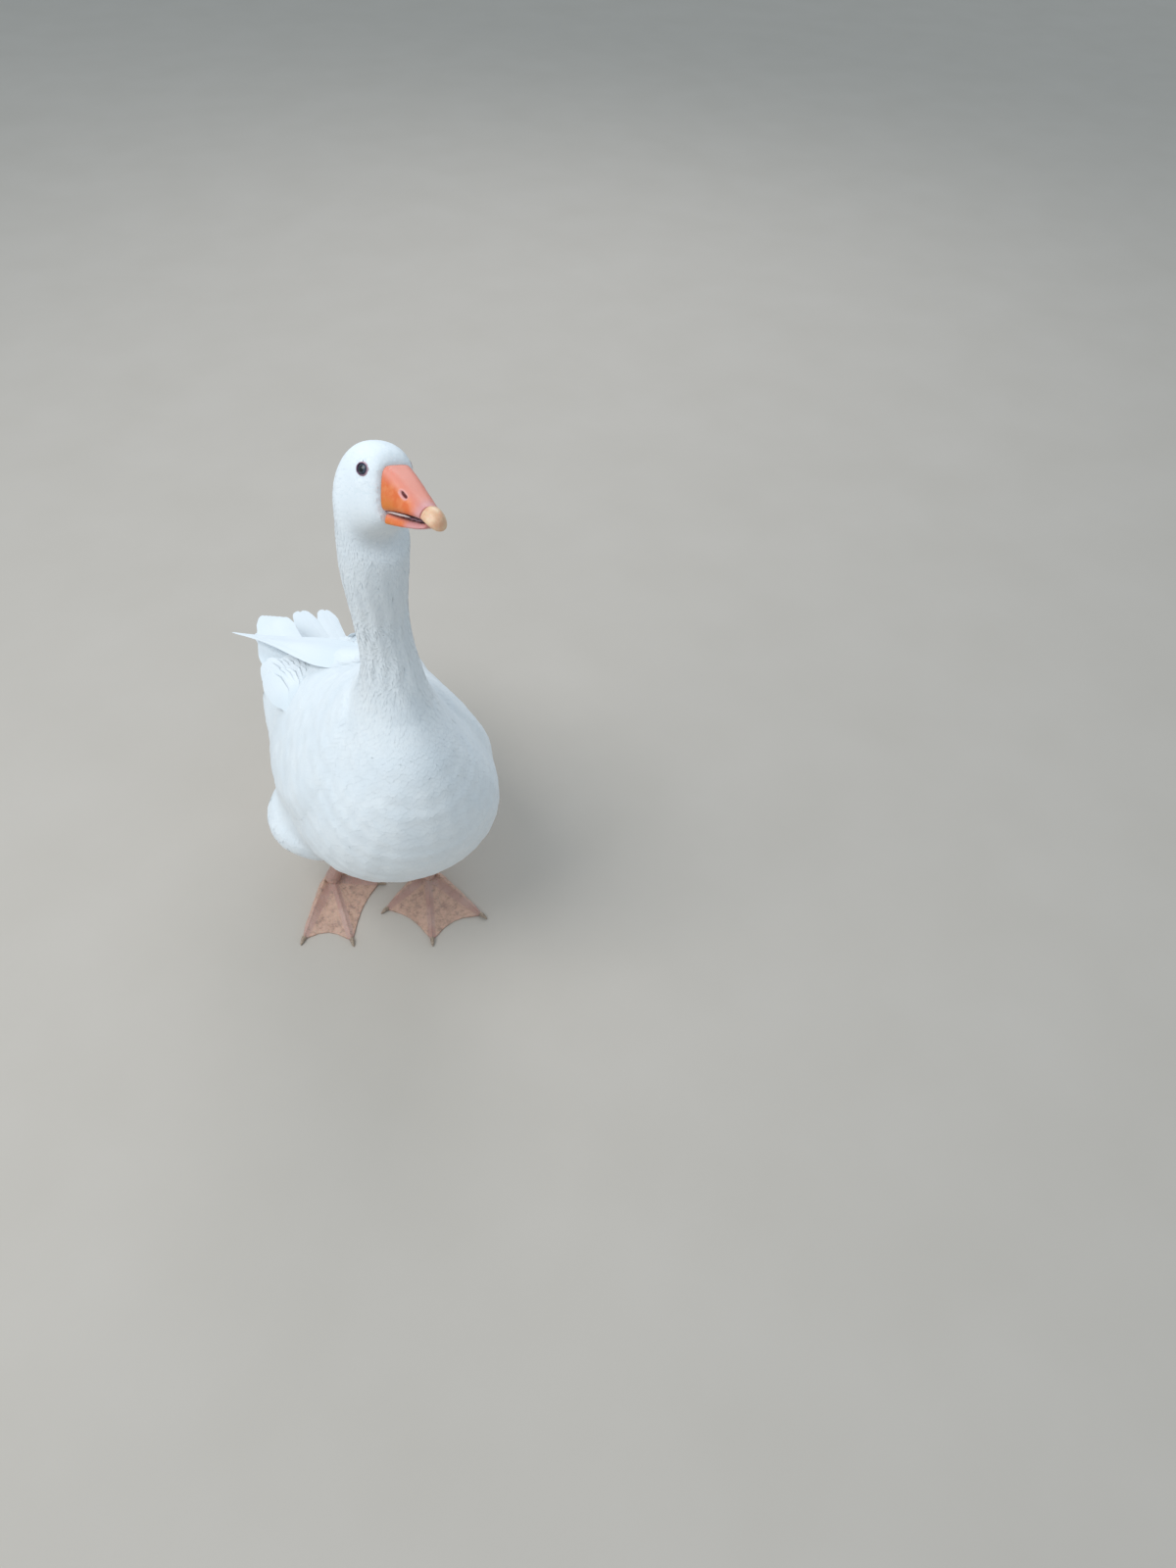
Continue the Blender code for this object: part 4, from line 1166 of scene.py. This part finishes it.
for side in SIDES:
    coat("coat_wing_" + side, [wing_rows(side, *row) for row in WING_ROWS], contour_feather)

# %% [markdown]
# ## Wing tips and tail
# The left wing's primaries lie across the rump in a stiff pointed blade, and the right wing's follow its
# side, under the blade, with round ends. The tail is a cocked fan of broad feathers turned to the right,
# with coverts over and under its root. All these stand free of the body, so they are not laid on the
# form: each is a vane on a straight shaft.

# %% The wing tips
def shaft_frame(start, end, side_up=(0, 0, 1)):
    """Roots, outward directions and lies of straight shafts from start to end, and their lengths."""
    lie, up = unit(end - start), np.broadcast_to(np.asarray(side_up, float), start.shape)
    return (start, unit(flat_to(up, lie)), lie), np.linalg.norm(end - start, axis=1)


blades = []
for side, (root, tip, root_half, tip_half, step, point, round_tip) in BLADES.items():
    start, end = placed(*np.array(root)), placed(*np.array(tip))
    run = unit(end - start)
    aside = unit(np.cross(run, (0, 0, 1))) * SIDES[side]
    i = np.arange(7)[:, None]
    q = i / 3 - 1
    stack = np.array([0, 0, 1]) * (0.0010 * i - 0.003)
    roll = np.array([0, 0, -1]) * (np.where(q > 0, 0.0065 * q, -0.0035 * q) if side == "left" else 0 * q)
    starts = start - aside * (q * root_half) + stack + roll
    ends = end - run * (step * i) - aside * (q * tip_half) + stack * 0.4
    spots, lengths = shaft_frame(starts, ends)
    place = np.concatenate([0.05 + 0.07 * i + (0.45 if side == "right" else 0), np.full((7, 1), 0.3)], 1)
    blades.append(vanes(spots, place, LONG, lengths, 0.0135, round_tip=round_tip, point=point, depth=0.0,
                        camber=0.0014, thick=0.0008, lift=0.002, jag=0.004, hug=False))
    if side == "right":  # two rows of coverts hide the roots
        for level, behind in enumerate((0.022, 0.044)):
            q = np.linspace(-1, 1, 9)[:, None]
            roots, out_of = on_form(start - run * behind + aside * (q * 0.036))
            roots = roots - 0.0012 * out_of
            ahead = 0.058 - 1.1 * behind + 0.004 * np.cos(9 * q)
            tips = start + run * ahead + aside * (q * 0.028) + [0, 0, 0.003]
            spots, lengths = shaft_frame(roots, tips, unit(out_of + [0, 0, 0.4]))
            place = np.concatenate([0.5 + 0.06 * q, np.full((9, 1), 0.1 + 0.05 * level)], 1)
            blades.append(vanes(spots, place, BROAD, lengths, 0.0140, round_tip=0.24, depth=0.0,
                                camber=0.0014, thick=0.0003, jag=0.01, hug=False))
    if side == "left":  # tertials run back over the root
        ahead, q = np.meshgrid(np.linspace(-0.040, 0.010, 3), np.linspace(-1, 1, 7))
        ahead, q = ahead.ravel(), q.ravel()
        spot, normal = on_form(start + run * ahead[:, None] + aside * (0.027 * q)[:, None] + [0, 0, 0.004])
        lie = unit(run - normal * (normal @ run)[:, None])
        place = np.stack([0.5 + 0.06 * q, 0.5 + 4 * ahead], -1)
        spots = spot, normal, turn_about(normal, lie, 0.12 * q)
        blades.append(vanes(spots, place, BROAD, 0.072 - 0.010 * q**2, 0.0125, round_tip=0.26,
                            depth=0.0010, camber=0.0006, thick=0.0003, base=0.0020 - 0.0014 * q**2,
                            lift=0.0002, jag=0.01))
coat("wing_tips", blades, flight_feather, ["primaries_left", "primaries_right"])

# %% The tail
TAIL_ROOT_AT = np.array([-0.158, 0.0, 0.204])  # forward, left, up of the fan's middle
TAIL_TURN, TAIL_SPREAD = math.radians(18), math.radians(21)
TAIL_TILT = 0.15  # metres down for each metre to its left


def fan(q, spread, reach, root_half, rise, up=0.0, back_by=0.0, turn=TAIL_TURN):
    """Shafts of a fan: they start in a row and open evenly, and the fan leans down to its left."""
    way = q * spread - turn
    left = root_half * np.sin(q * math.pi / 2)
    start = placed(TAIL_ROOT_AT[0] - back_by + 0 * q, left, TAIL_ROOT_AT[2] + up - 0.14 * np.abs(left))
    length = reach * (1 - 0.08 * q**2)
    back, aside = length * np.cos(way), length * np.sin(way)
    height = back * math.tan(rise) - TAIL_TILT * (left + aside)
    return start, start + np.stack([aside, back, height], -1)


tail_tracts = []
lobes = np.array([-0.82, -0.68, -0.32, -0.18, 0.18, 0.32, 0.68, 0.82])  # four pairs, side by side
start, end = fan(lobes, TAIL_SPREAD, 0.124, 0.018, math.radians(16))
start = start + [[0, 0, 1]] * (0.0014 * np.array([0, 1, 2, 3, 3, 2, 1, 0]))[:, None]
spots, lengths = shaft_frame(start, end)
lean = turn_about(spots[2], spots[1], 0.20 * lobes)
place = np.stack([0.5 + 0.4 * lobes, np.full(8, 0.1)], -1)
tail_tracts.append(vanes((spots[0], lean, spots[2]), place, LONG, lengths, 0.0140, round_tip=0.13,
                         depth=0.0, camber=0.0020, thick=0.0009, point=0.22, lift=0.003, jag=0.01,
                         hug=False))
COVERTS = (  # feathers, reach, half width of the row, up, rise in degrees, back: three rows over, two under
    (13, 0.062, 0.050, 0.047, -16, -0.010),
    (13, 0.058, 0.046, 0.033, -8, 0.006),
    (11, 0.054, 0.036, 0.020, 2, 0.022),
    (13, 0.070, 0.048, -0.014, 22, -0.004),
    (11, 0.058, 0.036, -0.004, 18, 0.014),
)
for level, (count, reach, root_half, up_by, rise, back_by) in enumerate(COVERTS):
    q = np.linspace(-1, 1, count)
    spread, turn = math.radians(16), TAIL_TURN * 0.6
    start, end = fan(q, spread, reach, root_half, math.radians(rise), up_by, back_by, turn)
    spots, lengths = shaft_frame(start, end, (0, 0, 1 if level < 3 else -1))
    place = np.stack([0.5 + 0.4 * q, np.full(count, 0.3 + 0.1 * level)], -1)
    tail_tracts.append(vanes(spots, place, BROAD, lengths, 0.0125, round_tip=0.28, depth=0.0, camber=0.0020,
                             thick=0.0006, lift=0.001, jag=0.02, hug=False))
coat("coat_tail", tail_tracts, flight_feather, ["tail"])

# %% [markdown]
# ## Bill
# The bill is orange horn over bone. It is high and boxy at the root, runs down in a straight ridge to a
# broad rounded nail, and has a slanted slit of a nostril on each side. The upper half is a stack of
# rings, and the nostril is pressed into it as a narrow hollow with a raised rim. The hollow is coloured
# dark red, partly its own colour and partly painted shade, and a painted highlight lies low behind the
# nail.

# %% Horn finishes
horn, tree = finish("orange bill skin", Roughness=0.38, Subsurface_Weight=0.08, Subsurface_Scale=0.002)
place = add(tree, "TexCoord").outputs["Object"]
chart = add(tree, "SeparateXYZ", {0: add(tree, "UVMap", uv_map="Bill").outputs[0]})
ahead, height = chart.outputs[0], chart.outputs[1]
slit = add(tree, "Attribute", attribute_name="slit").outputs["Fac"]
coarse = {"Vector": place, "Scale": 130.0, "Detail": 5.0, "Roughness": 0.6}
mottle = add(tree, "TexNoise", coarse).outputs[0]
fine = add(tree, "TexNoise", {"Vector": place, "Scale": 700.0, "Detail": 3.0}).outputs[0]
body = painted(tree, "#EA7238", (mottle, 0.38, 0.68, "#F08A52"), (height, 0.62, 0.95, "#F0947E"),
               (ahead, 0.60, 0.92, "#DE9A96"))
corner = painted(tree, body, (height, 0.55, 0.10, "#E4802E"))
edged = painted(tree, body, (ahead, 0.55, 0.15, corner), (ahead, 0.040, 0.012, "#B9704E"))
# Painted highlight: a near-white glint low on the side of the upper bill, just behind the nail.
front = add(tree, "MapRange", {0: ahead, 1: 0.70, 2: 0.80}, **SMOOTH).outputs[0]
for pattern, low, high in ((ahead, 1.0, 0.94), (height, 0.18, 0.08)):
    share = add(tree, "MapRange", {0: pattern, 1: low, 2: high}, **SMOOTH).outputs[0]
    front = add(tree, "Math", {0: front, 1: share}, operation="MULTIPLY").outputs[0]
# The painted highlight laid over the bill's colour.
edged = add(tree, "Mix", {0: front, 6: edged, 7: "#FBEDE8"}, **COLOUR).outputs[2]
# Pale pink round each nostril, then dark red in its hollow: partly the nostril's own colour and partly
# painted shade of the opening.
coloured = painted(tree, edged, (height, 0.06, 0.01, "#F3D6C8"), (slit, 0.05, 0.35, "#EFA9A0"),
                   (slit, 0.45, 0.85, "#6E2A26"))
pits = add(tree, "Math", {0: mottle, 1: 1.6, 2: fine}, operation="MULTIPLY_ADD").outputs[0]
dress(tree, coloured, pits, 0.35, 0.0005)

nail_horn = mottled("pale nail horn", 150.0, 4.0, "#F2C9A4", "#E5AD88", (0.35, 0.7), (0.3, 0.0003),
                    Roughness=0.32, Subsurface_Weight=0.12, Subsurface_Scale=0.0015)
# The lining's dark purple-grey is partly its own colour and partly painted shade inside the mouth.
mouth = mottled("wet mouth lining", 260.0, 3.0, "#6B5560", "#94727A", Roughness=0.28)
comb = mottled("horn lamellae", 300.0, 2.0, "#E3D3CC", "#C9A8A2", Roughness=0.40)
print("four horn and mouth finishes")

# %% The bill's rings
BILL = (  # forward, half width, ridge, lower edge
    (0.0034, 0.0168, 0.0362, -0.0012), (0.0150, 0.0163, 0.0310, 0.0004),
    (0.0260, 0.0154, 0.0248, 0.0010), (0.0370, 0.0140, 0.0182, 0.0014),
    (0.0460, 0.0122, 0.0135, 0.0012), (0.0510, 0.0112, 0.0120, 0.0006),
)
NAIL = (
    (0.0513, 0.0104, 0.0124, 0.0002), (0.0560, 0.0102, 0.0120, -0.0020),
    (0.0610, 0.0090, 0.0102, -0.0044), (0.0650, 0.0064, 0.0070, -0.0056),
    (0.0668, 0.0028, 0.0030, -0.0050),
)
MANDIBLE = (
    (0.0034, 0.0150, -0.0022, -0.0112), (0.0170, 0.0140, -0.0022, -0.0106),
    (0.0300, 0.0124, -0.0026, -0.0096), (0.0420, 0.0104, -0.0026, -0.0084),
    (0.0490, 0.0084, -0.0024, -0.0070), (0.0520, 0.0056, -0.0030, -0.0060),
)
FACE_LEAN = (HEAD[0][1][0] - HEAD[0][0][0]) / (HEAD[0][1][1] - HEAD[0][0][1])


def bill_part(rows, count, n, dome):
    """Rings of half width and height from a smooth curve through the rows. A ring is a circle pushed
    towards a box, narrower above, and it leans with the face at the root. Also the ring's forward, side
    and up in the head's frame."""
    turn = circle(n)[None, :]
    t = np.linspace(0, 1, count)[:, None]
    forward, half, high, low = np.moveaxis(catmull(rows, t * (len(rows) - 1)), -1, 0)
    ahead = np.minimum(1.0, forward / NAIL[0][0])
    boxy = dome * (0.45 + 0.55 * ahead)
    side, rise = squared(np.cos(turn), boxy) * half, squared(np.sin(turn), boxy)
    centre = low + 0.35 * (high - low)
    up = centre + rise * np.where(rise > 0, high - centre, centre - low)
    side = side * np.where(rise > 0, 1 - (0.10 + 0.15 * ahead) * rise, 1.0)
    return forward + FACE_LEAN * up * (1 - ahead), side, up, t, (up - low) / (high - low)


def rounded_ends(forward, side, up, t, share):
    """Draws the first and last few rings in to the ring's middle, so that the ends are round."""
    end = np.clip(np.minimum(t, 1 - t) / share, 0, 1)
    grow = np.sqrt(1 - (1 - end) ** 2) * 0.35 + 0.65
    centre = up.mean(1, keepdims=True)
    return forward, side * grow, centre + (up - centre) * grow


print("the bill is", round(1000 * NAIL[-1][0]), "mm long")


# %% The three horn pieces
NOSTRIL_AT = (0.0290, 0.0172)  # forward and up in the head's frame


def with_nostrils(forward, side, up, height):
    """The upper bill's rings with a slanted slit pressed into each side: a hollow of exp(-x^4 - y^2) in
    the slit's own half axes, and a wider swell round it. The root is wrinkled and the edge stands out a
    little. Also how far a point is in the slit."""
    run, rise = forward - NOSTRIL_AT[0], up - NOSTRIL_AT[1]
    along, across = run * 0.88 - rise * 0.48, run * 0.48 + rise * 0.88
    oval = np.exp(-((along / 0.0046) ** 4) - (across / 0.0013) ** 2)
    rim = np.exp(-((along / 0.0062) ** 2) - ((across - 0.0004) / 0.0030) ** 2)
    on_side = smooth_step((np.abs(side) - 0.004) / 0.003)
    side = side * (1 - on_side * (0.30 * oval - 0.05 * rim))
    wrinkle = 0.00012 * np.sin(forward * 2300 + 60 * up) * smooth_step((0.016 - forward) / 0.012)
    edge = 0.0006 * smooth_step((0.09 - height) / 0.09) * smooth_step((forward - 0.006) / 0.01)
    return side * (1 + edge / 0.012), up + wrinkle, (oval + 0.30 * rim) * on_side


def horn_piece(name, rows, count, n, dome, material, node, nostrils=False):
    """A part of the bill as a closed piece, with its own map: how far ahead, and how high in the ring."""
    forward, side, up, t, height = bill_part(rows, count, n, dome)
    slit = np.zeros_like(side)
    if nostrils:
        side, up, slit = with_nostrils(forward, side, up, height)
    forward, side, up = rounded_ends(forward + 0 * side, side, up, t, 0.02 if nostrils else 0.06)
    points, quads, triangles = rolled(from_head(forward, side, up))
    ends = [[0, 0.5], [1, 0.5]]
    pink = t if nostrils else np.minimum(1, 0.04 + 1.7 * t)
    chart = np.concatenate([np.stack([pink + 0 * side, np.clip(height, 0, 1)], -1).reshape(-1, 2), ends])
    value = np.concatenate([slit.ravel(), [0, 0]])
    made = build(name, points, quads, triangles, {"Bill": chart}, {"slit": value})
    put_on(made, [material], [node])


horn_piece("horn_upper", BILL, 110, 120, 0.8, horn, "bill_upper", nostrils=True)
horn_piece("horn_lower", MANDIBLE, 60, 64, 0.7, horn, "bill_lower")
horn_piece("horn_nail", NAIL, 40, 56, 0.9, nail_horn, "bill_nail")
print("the upper bill has", 110 * 120, "quads")

# %% [markdown]
# ## Inside the mouth
# The bill is held a little open. Between its halves shows a wet lining, its dark purple-grey partly its
# own colour and partly painted shade inside the mouth, and, along the upper edge, the lamellae: a comb of
# small horn teeth that the goose grazes with.

# %% Lining and lamellae
t = np.linspace(0, 1, 40)[:, None]
turn = circle(24)[None, :]
forward = 0.0038 + 0.0440 * t
half = np.interp(t, [0, 0.5, 1], [0.0132, 0.0112, 0.0078])
lining_rings = from_head(
    forward + 0 * turn,
    half * np.cos(turn),
    -0.0006 + 0.0022 * np.sin(turn) * (1 - 0.3 * t) + 0.0003 * np.sin(40 * t),
)
points, quads, triangles = rolled(lining_rings)
put_on(build("mouth_lining", points, quads, triangles), [mouth])

TOOTH = 0.0012
strips = []
for sign in (1, -1):
    t = np.linspace(0, 1, 260)[:, None]
    turn = circle(10)[None, :]
    forward = 0.0090 + 0.0300 * t
    row = np.interp(forward, [ring[0] for ring in BILL], np.arange(len(BILL)))
    _, half, _, low = np.moveaxis(catmull(BILL, row), -1, 0)
    tooth = (0.00016 + 0.00024 * plates(forward, TOOTH)) * np.sin(math.pi * np.clip(t, 0.02, 0.98)) ** 0.5
    side = sign * (half * 0.86 + tooth * np.cos(turn))
    strips.append(rolled(from_head(forward + 0 * turn, side, low - 0.0002 + 2.6 * tooth * np.sin(turn))))
points, quads, triangles = stacked(strips)
put_on(build("lamellae", points, quads, triangles), [comb])
print("the comb has about", 2 * round(0.03 / TOOTH), "teeth")

# %% [markdown]
# ## Eyes
# The eye is a glossy ball with a blue-grey iris round a wide black pupil. The rings are drawn from the
# angle off the line of sight, which the mesh carries as a map, and a clear coat gives the wet cornea.

# %% The eyes
iris, tree = finish("eye under a wet cornea", Roughness=0.30, Coat_Weight=0.6, Coat_Roughness=0.16,
                    IOR=1.38)
chart = add(tree, "SeparateXYZ", {0: add(tree, "UVMap", uv_map="Rings").outputs[0]})
off = chart.outputs[0]
rays = add(tree, "CombineXYZ", {0: chart.outputs[1], 1: off}).outputs[0]
fleck = add(tree, "TexNoise", {"Vector": rays, "Scale": 9.0, "Detail": 4.0}).outputs[0]
iris_colour = painted(tree, "#29313D", (fleck, 0.35, 0.65, "#414C5B"))
ringed = painted(tree, "#06070A", (off, 0.24, 0.29, iris_colour), (off, 0.40, 0.48, "#1C1A22"))
dress(tree, ringed, fleck, 0.1, 0.0002)

for side in SIDES:
    centre, sight, forward, up = eye_frame(side)
    polar = np.linspace(0.02, math.pi - 0.02, 40)[:, None]
    turn = circle(56)[None, :]
    ring = np.sin(polar)[..., None] * (np.cos(turn)[..., None] * forward + np.sin(turn)[..., None] * up)
    ball = centre + EYE_RADIUS * (np.cos(polar)[..., None] * sight + ring)
    points, quads, triangles = rolled(ball)
    chart = np.stack(np.broadcast_arrays(polar / math.pi * 2, turn / math.tau), -1).reshape(-1, 2)
    chart = np.concatenate([chart, [[0, 0.5], [2, 0.5]]])
    eyeball = build("eyeball_" + side, points, quads, triangles, {"Rings": chart})
    put_on(eyeball, [iris], ["eye_" + side])
print("two eyes of", 2 * EYE_RADIUS * 1000, "mm")

# %% [markdown]
# ## Claws
# The claws are short blunt hooks of pale horn. Each is a stack of rings on a path that bends down, with
# fine rings of growth, and they replace the plain ones of the frame. The hind toe's points back.

# %% The claws
claw_horn = mottled("claw horn", 420.0, 3.0, "#B9A08A", "#8F7A68", (0.3, 0.7), (0.4, 0.0003),
                    Roughness=0.40)

CLAW = (  # out along the toe, height and radius
    (-0.0010, 0.0034, 0.0028), (0.0010, 0.0034, 0.0027), (0.0040, 0.0033, 0.0024),
    (0.0075, 0.0026, 0.0017), (0.0100, 0.0017, 0.0009), (0.0108, 0.0013, 0.0004),
)
HIND = (
    (-0.0006, 0.0078, 0.0024), (0.0004, 0.0072, 0.0021), (0.0036, 0.0038, 0.0016),
    (0.0062, 0.0014, 0.0009), (0.0068, 0.0008, 0.0004),
)


def claw(origin, way, rows):
    """Rings along a curve through the rows (out, height, radius), never below the floor."""
    turn = circle(16)[None, :]
    out, high, radius = np.moveaxis(catmull(rows, np.linspace(0, len(rows) - 1, 18))[:, None], -1, 0)
    radius = radius * (1 + 0.03 * np.sin(out * 7000))
    beside = np.cross(way, (0, 0, 1))
    rings = origin + out[..., None] * way + (radius * np.cos(turn))[..., None] * beside
    rings = rings + (high + radius * np.sin(turn))[..., None] * np.array([0, 0, 1])
    rings[..., 2] = np.maximum(rings[..., 2], 0.0)
    return rolled(rings)


claws, claw_nodes = [], []
for side, sign in SIDES.items():
    c, s = math.cos(HEADINGS[side]), math.sin(HEADINGS[side])
    toes = [(*toe, name, CLAW) for toe, name in zip(TOES[side], ("inner", "middle", "outer"))]
    for degrees, length, name, rows in toes + [(215, 0.0277, "hind", HIND)]:
        ahead, beside = math.cos(math.radians(degrees)), sign * math.sin(math.radians(degrees))
        way = np.array([ahead * s + beside * c, beside * s - ahead * c, 0])
        claws.append(claw(placed(*HEELS[side], 0) + way * length, way, rows))
        claw_nodes.append(f"claw_{name}_{side}")
put_on(build("claws", *stacked(claws)), [claw_horn], claw_nodes)
bpy.data.objects.remove(form)
print(len(claws), "claws")

# %% [markdown]
# ## Floor, light and camera
# The bird stands on a plain pale floor under soft light: a wide lamp high up in front and to its right
# makes the gentle shade under the neck and belly, and a pale sky fills it. The camera looks down from
# 1.2 m above the floor, some 1.3 m away from the breast.

# %% The stage
floor_finish = mottled("matt pale floor", 6.0, 6.0, "#C4B9AD", "#CCC1B6", Roughness=0.9)
x, y = np.meshgrid(np.linspace(-6, 6, 2), np.linspace(-6, 6, 2))
floor = build("floor", np.stack([x, y, 0 * x], -1), [[0, 1, 3, 2]])
floor.data.materials.append(floor_finish)

sky = bpy.data.worlds.new("sky")
sky.use_nodes = True
sky.node_tree.nodes["Background"].inputs["Color"].default_value = linear("#D2E4F1")
sky.node_tree.nodes["Background"].inputs["Strength"].default_value = 0.66
bpy.context.scene.world = sky
bpy.context.scene.view_settings.view_transform = "Standard"


def aimed(name, data, right, up, back, spot):
    """A lamp or camera at a spot, with its own x, y and z along right, up and back."""
    made = link(name, data)
    for i, axis in enumerate((right, up, back, spot)):
        for j in range(3):
            made.matrix_world[j][i] = axis[j]
    return made


for name, spot, size, watts, colour in (
    ("key", (-1.5, -0.3, 2.7), 1.8, 45, "#F5FBFF"),
    ("back", (1.2, 1.8, 2.2), 1.6, 18, "#F4F8FF"),
):
    data = bpy.data.lights.new(name, "AREA")
    data.size, data.energy, data.color = size, watts, linear(colour)[:3]
    back = unit(np.array(spot) - [0, 0, 0.3])
    right = unit(np.cross((0, 0, 1), back))
    aimed(name, data, right, np.cross(back, right), back, spot)

CAMERA_AT = np.array([-0.2006, -0.9668, 1.2])
YAW, PITCH, ROLL = math.radians(28), math.radians(47.5), math.radians(-3)
lens = bpy.data.cameras.new("camera")
lens.lens, lens.sensor_width = 25.425, 36
ahead = np.array([0, math.cos(PITCH), -math.sin(PITCH)])
below = np.array([0, -math.sin(PITCH), -math.cos(PITCH)])
right = np.array([math.cos(ROLL), 0, 0]) + below * math.sin(ROLL)
below = np.array([-math.sin(ROLL), 0, 0]) + below * math.cos(ROLL)
about = np.array([[math.cos(YAW), -math.sin(YAW), 0], [math.sin(YAW), math.cos(YAW), 0], [0, 0, 1]])
bpy.context.scene.camera = aimed("camera", lens, right @ about, -below @ about, -ahead @ about, CAMERA_AT)
print("the camera stands", round(float(np.linalg.norm(CAMERA_AT - [0, 0, 0.3])), 2), "m from the breast")
